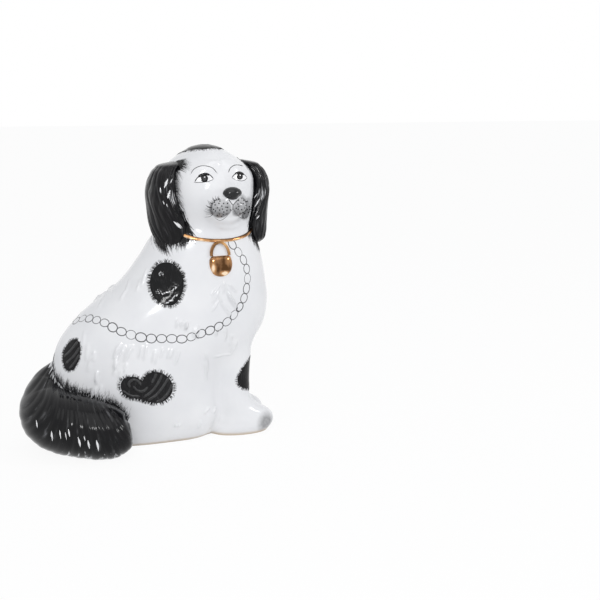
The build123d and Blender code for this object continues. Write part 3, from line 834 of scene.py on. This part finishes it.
def spread(rim, middle, rings, points):
    """Pixels of a patch: its closed rim drawn smooth through hand points, shrunk to its middle."""
    rim = np.asarray(rim + rim[:1], float)
    rim = curve(np.vstack([rim[-3:-1], rim, rim[1:3]]), 8 * points)
    away = rim - middle
    angle = np.unwrap(np.arctan2(away[:, 1], away[:, 0]))
    if angle[-1] < angle[0]:
        angle, away = angle[::-1], away[::-1]
    start = (angle[0] + angle[-1]) / 2 - math.pi
    goal = start + whole_turn(points)
    edge = np.column_stack([np.interp(goal, angle, away[:, k]) for k in (0, 1)])
    share = np.linspace(0.03, 1, rings)[:, None, None]
    return middle + share * edge


enamel = mottled("black_enamel", 0.1, 1, 3, [
    (0.52, (0.005, 0.005, 0.006)), (0.66, (0.012, 0.012, 0.013)), (0.8, (0.04, 0.04, 0.042)),
], gloss=0.2, stretch=(500, 90, 160), bumps=(180, 3, 0.5, 0.0006))
line_black = mottled("line_black", 0.25, 500, 2, [
    (0.35, (0.006, 0.006, 0.007)), (0.7, (0.03, 0.03, 0.032)),
], gloss=0.3)
thin_grey = mottled("thin_grey", 0.25, 700, 2, [(0.35, (0.03, 0.03, 0.033)), (0.7, (0.11, 0.11, 0.115))])


def draw(name, pixels, half_width, material, rise=paint_rise):
    """A drawn line through pixels, fine at both ends."""
    steps = 40
    share = np.linspace(0, 1, steps)
    width = half_width * np.clip(np.minimum(share, 1 - share) * 12, 0.25, 1)
    thread(name, land(curve(pixels, steps))[None], width[None], material, rise=rise)


def on_leg(spots):
    """Points of the right foreleg from spots in millimetres: round the leg from its front, and down
    from the height of the patch."""
    leg_round, patch_height = 18, 0.062
    turn, height = -spots[..., 0] / leg_round, patch_height - spots[..., 1] / 1000
    level = blend(foreleg_levels, height)
    across = np.sin(turn) * level[..., 2] - foreleg_spacing / 2
    return settle(np.stack([level[..., 0] + np.cos(turn) * level[..., 1], across, height], -1))


def spiky(name, rim, middle, seed, reach, put=land):
    """Hair patch: its black middle and a dense fringe of short hairs about the rim, put in place on
    the right flank and mirrored on the left."""
    hair_gap, hair_half_width = 0.42, 0.00044
    middle = np.array(middle)
    spots = spread(rim, middle, 14, 120)
    luck = np.random.default_rng(seed)
    edge = spots[-1]
    length = np.linalg.norm(np.roll(edge, -1, 0) - edge, axis=1).sum()
    count = int(length / hair_gap)
    place = luck.uniform(0, len(edge), count)
    low = place.astype(int)
    root = edge[low] + (edge[(low + 1) % len(edge)] - edge[low]) * (place - low)[:, None]
    along = edge[(low + 2) % len(edge)] - edge[low - 2]
    out = unit(np.stack([along[:, 1], -along[:, 0]], -1))
    out = out * np.sign((out * (root - middle)).sum(1))[:, None]
    lean = luck.normal(0, 0.35, count)[:, None]
    tip = root + (out + lean * out[:, ::-1] * [1, -1]) * (reach * luck.uniform(0.35, 1, count))[:, None]
    fringe, flat = put(np.stack([root - 1.2 * out, root + 0.3 * out, tip], 1)), put(spots)
    for flank, lines, ground in (("", fringe, flat), ("_left", mirror(fringe), mirror(flat))):
        hairs(name + "_fringe" + flank, lines, hair_half_width, enamel)
        patch(name + flank, ground, enamel)


# Rims of the patches, in pixels, and that of the foreleg's in millimetres
shoulder_rim = [
    (167, 261), (176, 264.5), (183, 274), (184.8, 286), (181, 298), (174, 306), (166, 306.5), (156, 301),
    (150, 291), (149, 279), (152.5, 269), (159, 262.5),
]
kidney_rim = [
    (119, 384), (122, 378.5), (129, 376.2), (136, 376.5), (141.9, 380), (146, 374.5), (153, 371.2),
    (161, 371.5), (169, 376), (174, 384), (173.5, 393), (168, 400), (159, 404), (150, 403), (138, 399.5),
    (127, 397.5), (120.5, 391.5),
]
rump_rim = [
    (77, 338.5), (80.5, 343), (80.8, 352), (78, 363), (73, 370.5), (67, 371.5), (63, 364), (62.5, 355),
    (66, 345.5), (71.5, 339.5),
]
leg_rim = [
    (8, -16.5), (17, -11), (23, -3), (25.5, 5), (22, 12), (13, 16), (2, 15.5), (-5, 8), (-7, -2), (-2, -12),
]
spiky("shoulder_patch", shoulder_rim, (166.8, 284.3), 11, 3.0)
spiky("kidney_patch", kidney_rim, (147, 388.5), 12, 3.0)
spiky("rump_patch", rump_rim, (71.8, 355), 13, 1.6)
spiky("foreleg_patch", leg_rim, (9.5, 1), 14, 2.2, put=on_leg)
# Strokes of thicker enamel on the flank patch and the rump patch, in pixels
patch_strokes = {
    "kidney": [
        [(147, 401), (156, 395), (164, 385), (169, 377)],
        [(143, 397.5), (151, 392), (158, 383), (162.5, 374)],
        [(155, 403), (163, 398.5), (169.5, 390), (172.5, 383)],
        [(151.5, 383), (154, 379), (156.5, 373.5)],
        [(130, 388), (128.8, 383.5), (132.5, 380), (138, 381), (141, 385.5)],
        [(122, 390.5), (130, 395.5), (140, 396.5)],
        [(133, 386), (137, 390.5), (143, 391), (148, 387)],
    ],
    "rump": [
        [(64, 357), (71, 350), (78, 341)],
        [(65.5, 364), (73, 357), (80, 347)],
        [(69, 369.5), (75, 362), (79.5, 354)],
    ],
}
stroke_half_width, stroke_rise = 0.0021, 0.00036
dull_black = mottled("dull_black", 0.4, 600, 2, [
    (0.35, (0.010, 0.010, 0.011)), (0.7, (0.045, 0.045, 0.047)),
], gloss=0.4)
for place, strokes_of in patch_strokes.items():
    for number, pixels in enumerate(strokes_of):
        draw(place + "_stroke_" + str(number), pixels, stroke_half_width, dull_black, rise=stroke_rise)


# Padlock: a domed boss of clay luted on below the throat, with a flat top edge, and a shackle rolled of
# clay that hangs from the collar. Both are gilt. The gold of the boss is brown in its middle and
# brighter at its rim, with painted highlights on the dome: faint above the middle, strong at the left
# and at the foot.
gilding = mottled("gilding", 0.24, 75, 4, [
    (0.32, (0.16, 0.075, 0.03)), (0.46, (0.50, 0.27, 0.11)), (0.66, (0.80, 0.50, 0.24)),
], metallic=1.0, stretch=(1, 1, 0.5), bumps=(60, 2, 0.5, 0.0012))
dress("padlock_shackle", gilding)

lock_rim = [
    (209.7, 259), (211.4, 256.7), (216, 256), (221, 255.6), (226, 255.3), (229.8, 255.6), (231.5, 259),
    (232.3, 265), (230.8, 271), (226.5, 275.4), (220, 276.8), (213.6, 274.5), (210.2, 268.5), (209.2, 263),
]
lock_rounds, lock_dome, lock_set, lock_under = 24, 0.0033, 0.0004, 0.0012
lock_pixels = spread(lock_rim, np.array([220.7, 265.5]), lock_rounds, 96)
lock_spots = land(lock_pixels)
lock_out = normals(lock_spots)
lock_share = np.linspace(0.03, 1, lock_rounds)[:, None]
lock_lift = lock_dome * np.sqrt(np.clip(1 - lock_share**2.6, 0, 1)) - lock_set * lock_share**8
lock_dome_spots = lock_spots + lock_out * lock_lift[..., None]
lock_rings = np.concatenate([lock_dome_spots, (lock_spots - lock_out * lock_under)[-1:]])
lock = skin("padlock_boss", lock_rings[None], gilding_with_painted_sheen)
# Painted highlights, by pixels across and down: faint above the middle, strong at the left and foot
painted_highlight_places = [(0.35, (226, 4), (262, 5)), (1.8, (213.0, 1.9), (268.5, 5)), (1.8, (224, 3.8), (273, 1.9))]
thick = 0.47 + 0.5 * lock_share**8 + bells(painted_highlight_places, lock_pixels[..., 0], lock_pixels[..., 1])
attribute(lock, "edge", np.vstack([thick, thick[-1:]]))
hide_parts("padlock_body")


# Chain: a hand-drawn chain of oval links in thin grey enamel, from the collar across the chest, along
# the flank, over the back and round to the other side of the collar.
chain_pixels = [
    (229.4, 240.6), (234.0, 246.6), (240.3, 254.5), (245.2, 263.6), (247.5, 273.6), (247.1, 284.1),
    (245.7, 292.7), (241.8, 303.4), (235.5, 312.7), (228.6, 320.9), (219.5, 325.9), (211.4, 330),
    (202.7, 333), (194, 336), (185, 338.8), (176.5, 338.8), (167, 338.6), (157.4, 338.6), (146.6, 338.2),
    (135.5, 336), (125, 332.8), (115.6, 329.2), (108.7, 324.7), (102.3, 322), (96, 319.8), (90, 318.5),
    (85, 318.1), (80, 318.6), (75, 320.6),
]
link_pitch, link_half_length, link_half_width, line_half_width = 0.0098, 0.0050, 0.0041, 0.00058
near_run = land(curve(chain_pixels, 30))
far_heading, far_drop = np.radians([38.0]), 0.004
far_end = ring(far_heading, collar_at(far_heading) - far_drop, 0)
whole_run = curve(np.concatenate([near_run, mirror(near_run[1:])[::-1], far_end]), 900)
whole_run = settle(whole_run)
length = np.append(0, np.cumsum(np.linalg.norm(np.diff(whole_run, axis=0), axis=1)))
link_count = int(length[-1] / link_pitch)
luck = np.random.default_rng(21)
place = (np.arange(link_count) + 0.5) * length[-1] / link_count
middle = np.column_stack([np.interp(place, length, whole_run[:, k]) for k in range(3)])
ahead = np.column_stack([np.interp(place + 0.001, length, whole_run[:, k]) for k in range(3)]) - middle
ahead = unit(ahead)
aside = np.cross(normals(middle), ahead)
turn = whole_turn(36)
size = luck.uniform(0.92, 1.06, (2, link_count, 1))
long_way = np.cos(turn)[None] * size[0] * link_half_length
short_way = np.sin(turn)[None] * size[1] * link_half_width
link_lines = middle[:, None] + long_way[..., None] * ahead[:, None] + short_way[..., None] * aside[:, None]
link_lines = settle(link_lines, 3)
line_widths = line_half_width * luck.uniform(0.75, 1.4, (link_count, 1)) + 0 * turn
thread("chain_links", link_lines, line_widths, thin_grey, closed=True)


# Face painting: eyes, brows, lips, whisker dots and whiskers, drawn on the glaze with a fine brush. The
# whites of the eyes are white enamel, and the irises are matt black with a grey pupil and a white dot
# painted on as a highlight.
# White enamel for the eye whites, also used for the painted highlights on the irises and on the hair.
white_enamel_and_highlight = mottled("white_enamel_and_highlight", 0.08, 120, 2, [(0.3, (0.87, 0.87, 0.88)), (0.7, (0.91, 0.91, 0.92))])
iris_black = mottled("iris_black", 0.35, 900, 2, [
    (0.35, (0.004, 0.004, 0.004)), (0.7, (0.016, 0.016, 0.017)),
], gloss=0.1)
iris_grey = mottled("iris_grey", 0.35, 900, 2, [
    (0.35, (0.02, 0.02, 0.021)), (0.7, (0.07, 0.07, 0.072)),
], gloss=0.15)
lid_width, thick_lid_width, under_width, brow_width = 0.00055, 0.0015, 0.00045, 0.00055
lip_width, stem_width, lid_rise, thick_lid_rise = 0.00058, 0.00062, 0.00026, 0.00036
right_lid = [(194.3, 182.6), (197.3, 177.9), (202, 174.2), (205.5, 173.5), (209.8, 174.9), (213.9, 179.2)]
right_under = [(194.3, 182.6), (202, 182.3), (208, 181.6), (213.9, 179.2)]
left_lid = [(231.7, 177.9), (235.6, 173.4), (239, 172.1), (243.4, 173.7), (247.2, 177.9)]
left_under = [(231.7, 177.9), (236.5, 179.9), (240.8, 180.9), (244.7, 180.1), (247.2, 177.9)]
right_brow = [(190.4, 174.5), (193.4, 169.7), (199.4, 166.3), (205.5, 165.8), (212.4, 168), (217.5, 173.6)]
left_brow = [(228.3, 172.7), (230.4, 168), (233.9, 165.4), (239, 165), (243.4, 166.0)]


def other_cheek(points):
    """The same points on the other side of the face's middle plane."""
    away = (points - nose_centre) @ face_aside
    return settle(points - 2 * away[..., None] * face_aside)


def disc(name, pixel, radius, material, lift):
    """A painted disc about a pixel, in pixels, with its middle lifted."""
    turn = whole_turn(40)
    share = np.linspace(0.04, 1, 8)[:, None, None]
    edge = np.stack([np.cos(turn) * radius, np.sin(turn) * radius], -1)
    patch(name, land(np.array(pixel) + share * edge), material, lift=lift)


for side, lid, under, brow, iris, radius in (
    ("right", right_lid, right_under, right_brow, (204.4, 178.4), 4.3),
    ("left", left_lid, left_under, left_brow, (239.8, 176.5), 3.6),
):
    rim = lid + under[-2:0:-1]
    spots = spread(rim, np.mean(rim, axis=0), 8, 60)
    patch("white_enamel_and_highlight_" + side, land(spots), white_enamel_and_highlight, lift=0.5)
    disc("iris_" + side, iris, radius, iris_black, 0.9)
    disc("pupil_" + side, (iris[0] + 0.2, iris[1] + 0.6), radius * 0.5, iris_grey, 1.3)
    # Painted highlight: a white dot on the iris.
    disc("glint_" + side, (iris[0] + 0.3, iris[1] - 1.3), 0.7, white_enamel_and_highlight, 1.8)
    draw("lid_" + side, lid, lid_width, line_black, rise=lid_rise)
    thick_part = curve(lid, 30)[8:23] + [0, 0.5]
    draw("lid_thick_" + side, thick_part, thick_lid_width, enamel, rise=thick_lid_rise)
    draw("under_lid_" + side, under, under_width, line_black)
    draw("brow_" + side, brow, brow_width, line_black)

draw("lip_right", [(228.3, 199.2), (231, 202.6), (233, 205.4)], lip_width, line_black)
draw("lip_left", [(239.2, 199.0), (235.6, 202.2), (233, 205.4)], lip_width, line_black)
draw("lip_stem", [(233, 204.8), (233, 207), (232.9, 209.4)], stem_width, line_black)
mouths = {
    "right": [(232.9, 208.6), (229.6, 212.6), (225.6, 217.4), (220, 220.4), (214.5, 217.6)],
    "left": [(233, 208.6), (236.0, 213), (239.6, 217), (243.8, 218.6), (248.5, 216)],
}
dot_count, golden_turn, dot_radius, dot_share, dot_spread = 22, 2.39996, 0.82, 0.88, 10.2
dot_grow = np.array([0.35, 0.8, 1.0])[:, None, None]
dot_lift = np.array([1.2, 0.8, -0.8])[:, None, None] * paint_rise
angle = np.arange(dot_count) * golden_turn
share = np.sqrt((np.arange(dot_count) + 0.6) / dot_count) * dot_share
turn = whole_turn(8)
mouth_width = 0.00036 * np.clip(np.linspace(12, 0, 40), 0.25, 1)
for seed, side, middle, reach in ((31, "right", (221.2, 209.0), 10.4), (32, "left", (243.2, 207.6), 8.6)):
    thread("mouth_" + side, land(curve(mouths[side], 40))[None], mouth_width[None], thin_grey)
    luck = np.random.default_rng(seed)
    spots = np.stack([np.cos(angle) * reach, np.sin(angle) * dot_spread], -1) * share[:, None]
    spots = np.array(middle) + spots + luck.normal(0, 0.5, spots.shape)
    round_dot = dot_grow * dot_radius * np.stack([np.cos(turn), np.sin(turn)], -1)
    around = land(spots[:, None, None] + round_dot)
    dots = skin("whisker_dots_" + side, around + normals(around) * dot_lift, line_black)

whisker_count = 22
whisker_root = curve([(220.5, 200.0), (215.0, 201.5), (212.5, 206.5), (213.5, 213.5)], whisker_count)
whisker_way = np.radians(np.linspace(-104, -192, whisker_count) + luck.normal(0, 8, whisker_count))
whisker_run = luck.uniform(6.0, 10.5, (whisker_count, 1)) * np.linspace(0.45, 1, whisker_count)[:, None]
whisker_ahead = np.stack([np.cos(whisker_way), np.sin(whisker_way)], -1) * whisker_run
whisker_middle = whisker_root + 0.5 * whisker_ahead + whisker_ahead[:, ::-1] * [0.14, -0.14]
whisker_points = land(np.stack([whisker_root, whisker_middle, whisker_root + whisker_ahead], 1))
whisker_half_width = 0.00056
hairs("whiskers_right", whisker_points, whisker_half_width, line_black, steps=9)
hairs("whiskers_left", other_cheek(whisker_points), whisker_half_width, line_black, steps=9)


# Brushed-out hair: single strokes of enamel from the black crown, ears and tail on to the white glaze,
# so that no black ends in a hard line, and short white strokes painted on the hair as highlights.
broad_hair, fine_hair, root_wander, way_wander, hair_sag = 0.00036, 0.0003, 0.0006, 0.16, 0.06


def brushed_out(name, seed, roots, ways, lengths, count, material, half_width=broad_hair):
    """Hairs from random roots of a seam, each along its way and length with some luck."""
    luck = np.random.default_rng(seed)
    pick = luck.integers(0, len(roots), count)
    start = roots[pick] + luck.normal(0, root_wander, (count, 3))
    ahead = ways[pick] + luck.normal(0, way_wander, (count, 3))
    ahead = ahead * (lengths[pick] * luck.uniform(0.35, 1.1, count))[:, None]
    sag = np.array([0, 0, -hair_sag]) * np.linalg.norm(ahead, axis=1, keepdims=True)
    lines = np.stack([start - 0.25 * ahead, start + 0.4 * ahead - sag, start + ahead], 1)
    hairs(name, settle(lines, 5), half_width, material)


crown_edge_shares = np.array([
    (-300, 0.976), (-240, 0.964), (-180, 0.950), (-120, 0.970), (-60, 0.984), (-20, 0.9865),
    (20, 0.9885), (60, 0.987), (120, 0.974), (180, 0.950), (240, 0.970),
])
turn = np.radians(np.linspace(-180, 180, 120, endpoint=False))
heading = math.radians(face_heading) + turn
edge_height = blend(crown_edge_shares, np.degrees(turn))[..., 0] * figure_height
share = np.sin(np.linspace(0.03, math.pi / 2, 30))[:, None]
cap = ring(heading + 0 * share, figure_height - (figure_height - edge_height) * share, 0 * share)
patch("crown_cap", cap, enamel)
cap_way = unit(cap[-1] - cap[-4])
crown_lengths = np.full(len(cap_way), 0.0030)
brushed_out("crown_hairs", 51, cap[-1], cap_way, crown_lengths, 330, enamel, fine_hair)


def cast(piece, pixels):
    """Points and outward directions where lines of sight through pixels meet a piece."""
    tree = BVHTree.FromPolygons(spots_of(piece).tolist(), [face.vertices for face in piece.data.polygons])
    hits = [tree.ray_cast(Vector(eye), Vector(way)) for way in sight(pixels)]
    return np.array([hit[0] for hit in hits]) - figure_axis, np.array([hit[1] for hit in hits])


def painted_glint(name, piece, pixels, half_width):
    """A painted highlight: a short white stroke on a lock of hair from pixel to pixel, widest at its middle.
    """
    steps, rise = 16, 0.0002
    line, out = cast(piece, curve(pixels, steps))
    width = half_width * np.sin(np.linspace(0.15, math.pi - 0.15, steps))
    lens(name, line[None], out[None], width[None], white_enamel_and_highlight, rise=rise)


# Painted highlights on the hair: two ends in pixels, and half the width in millimetres
painted_glints = {
    ears[0]: [
        (168, 178.8, 164.1, 188.2, 1.3), (160.2, 187.4, 160.8, 193, 0.7), (172.3, 178.8, 170.6, 183, 0.7),
        (170.1, 190, 167.6, 198.6, 1.6), (162.8, 200.7, 164.3, 204.6, 0.8), (166.2, 203.6, 167.6, 207, 0.5),
        (173.6, 221.4, 181.3, 228.7, 1.2), (176.5, 222, 182.5, 228, 0.6),
    ],
    ears[1]: [
        (259.7, 198.6, 254.6, 207.2, 1.0), (259.3, 215.4, 256.3, 219.2, 0.7), (257.5, 193.5, 254, 198, 0.6),
    ],
    tail: [
        (36.2, 420, 37.3, 428, 1.0), (51.3, 431, 52.4, 441, 1.2), (59.6, 430, 60.8, 439, 1.0),
        (68.3, 429, 69.7, 437, 0.9), (65.2, 432, 66.6, 440, 0.6), (78.0, 437, 80.4, 447, 1.3),
        (87.8, 440, 89.6, 449, 1.1), (96.4, 440, 98.6, 451, 1.3), (84, 436, 85.2, 441, 0.6),
    ],
}
for piece, glints in painted_glints.items():
    for number, (x, y, far_x, far_y, broad) in enumerate(glints):
        painted_glint(piece.name + "_glint_" + str(number), piece, [(x, y), (far_x, far_y)], broad / 1000)

fringe_half_width = 0.0005
ear_fringe = land(np.concatenate([
    strokes(61, 170, (154, 234), (164, 241), 72, 14, 1.6),
    strokes(62, 150, (164, 240), (189, 238), 98, 8, 1.4),
    strokes(63, 110, (183, 219), (191, 236), 56, 8, 1.4),
    strokes(64, 60, (179, 206), (184, 220), 66, 7, 1.4),
]))
hairs("ear_right_fringe", ear_fringe, fringe_half_width, enamel)
hairs("ear_left_fringe", other_cheek(ear_fringe), fringe_half_width, enamel)

face_down = np.array([0, 0, -1.0])
tuft_length, grey_length, low_length, tail_length, tail_grey_length = 0.011, 0.008, 0.008, 0.0070, 0.0092
for grid, side, node in ((ear_grids[0], -1, "ear_right"), (ear_grids[1], 1, "ear_left")):
    front = grid[:, :2 * (ear_columns // 4)]
    within = clay(front) < 0
    first = within.argmax(1)
    rows = np.flatnonzero(within.any(1) & (first > 0))
    seam, up_ear = front[rows, first[rows]], rows / (ear_rows - 1)
    inward = face_ahead * 0.75 - side * face_aside * 0.65
    tuft_way = inward[None] + face_down * 0.1 + 0 * seam
    grey_way, low_way = tuft_way + face_down * 0.9, face_ahead[None] * 0.6 + face_down * 0.9 + 0 * seam
    for kind, seed, part, way, length, count, material, half_width in (
        ("_tuft", 52, up_ear > 0.80, tuft_way, tuft_length, 240, enamel, broad_hair),
        ("_grey", 53, (up_ear > 0.52) & (up_ear <= 0.8), grey_way, grey_length, 120, thin_grey, fine_hair),
        ("_low", 54, up_ear < 0.36, low_way, low_length, 150, enamel, broad_hair),
    ):
        if part.any():
            lengths = np.full(part.sum(), length)
            brushed_out(node + kind, seed, seam[part], way[part], lengths, count, material, half_width)

# Tail hairs root in each row's highest point where the tail's skin meets the body's
within = clay(tail_grid) < 0
meets = within != np.roll(within, 1, 1)
rows = np.arange(4, tail_rows - 4)
rows = rows[meets[rows].any(1)]
roots = tail_grid[rows, np.where(meets, tail_grid[..., 2], -1)[rows].argmax(1)]
roots = roots[roots[:, 2] > 0.016]
tail_way = np.array([0.30, 0, 0.95]) + 0 * roots
brushed_out("tail_hairs", 55, roots, tail_way, np.full(len(roots), tail_length), 700, enamel)
grey_roots, grey_lengths = roots + [0, 0, 0.001], np.full(len(roots), tail_grey_length)
brushed_out("tail_hairs_grey", 56, grey_roots, tail_way, grey_lengths, 300, thin_grey, fine_hair)


# Studio: a pale floor that keeps the figure's shadow, white behind, and plain soft light: a broad sun
# from above, two soft boxes whose shapes show in the glaze, and a weak sun from behind.
floor_reach = 9
floor_corners = [(x * floor_reach, y * floor_reach, 0) for x, y in ((-1, -1), (1, -1), (1, 1), (-1, 1))]
floor_mesh = bpy.data.meshes.new("floor")
floor_mesh.from_pydata(floor_corners, [], [(0, 1, 2, 3)])
floor = bpy.data.objects.new("floor", floor_mesh)
bpy.context.scene.collection.objects.link(floor)
floor_white, nodes, links, shader = finish_nodes("floor_white", 0.9)
shader.inputs["Base Color"].default_value = (0.96, 0.96, 0.96, 1)
shader.inputs["Specular IOR Level"].default_value = 0
floor_mesh.materials.append(floor_white)


def white_when_seen(nodes, links, plain, kind, share):
    """A plain surface mixed with white by a share, for the rays of the camera, of gloss and of glass."""
    path, white, part, mix = (nodes.new("ShaderNode" + k) for k in ("LightPath", kind, "Math", "MixShader"))
    seen = path.outputs["Is Camera Ray"]
    for ray in ("Is Glossy Ray", "Is Transmission Ray"):
        seen = combined(nodes, links, "MAXIMUM", seen, path.outputs[ray])
    part.operation = "MULTIPLY"
    part.inputs[1].default_value = share
    white.inputs["Color"].default_value = (1, 1, 1, 1)
    links.new(seen, part.inputs[0])
    for source, end in ((part, 0), (plain, 1), (white, 2)):
        links.new(source.outputs[0], mix.inputs[end])
    return mix.outputs[0]


floor_share = 0.92
floor_light = white_when_seen(nodes, links, shader, "Emission", floor_share)
links.new(floor_light, nodes["Material Output"].inputs["Surface"])

world = bpy.data.worlds.new("studio")
world.use_nodes = True
bpy.context.scene.world = world
nodes, links = world.node_tree.nodes, world.node_tree.links
plain = nodes["Background"]
plain.inputs["Color"].default_value = (0.95, 0.97, 1, 1)
plain.inputs["Strength"].default_value = 0.45
world_light = white_when_seen(nodes, links, plain, "Background", 1)
links.new(world_light, nodes["World Output"].inputs["Surface"])


def lamp(name, kind, side, rise, distance, size, power):
    """Soft lamp at a heading and rise, in degrees, and a distance from the figure's middle, facing it.
    The size of a sun is its angle, and that of a soft box its width and height."""
    side, rise = math.radians(side), math.radians(rise)
    back = np.array([math.cos(side) * math.cos(rise), math.sin(side) * math.cos(rise), math.sin(rise)])
    beside = unit(np.cross([0, 0, 1], back))
    light = bpy.data.lights.new(name, kind)
    light.energy = power
    if kind == "SUN":
        light.angle = size
    else:
        light.shape, light.size, light.size_y = "RECTANGLE", *size
    thing = bpy.data.objects.new(name, light)
    stand = np.column_stack([beside, np.cross(back, beside), back, back * distance + [0, 0, 0.14]])
    thing.matrix_world = Matrix([*stand, (0, 0, 0, 1)])
    bpy.context.scene.collection.objects.link(thing)


lamp("daylight", "SUN", -95, 58, 3, math.radians(60), 0.7)
lamp("softbox", "AREA", -106, 27, 1.5, (0.34, 0.17), 5.4)
lamp("window", "AREA", -30, 24, 1.7, (0.3, 0.3), 4.4)
lamp("fill", "SUN", 100, 25, 3, math.radians(120), 0.30)
bpy.context.scene.view_settings.view_transform = "Standard"
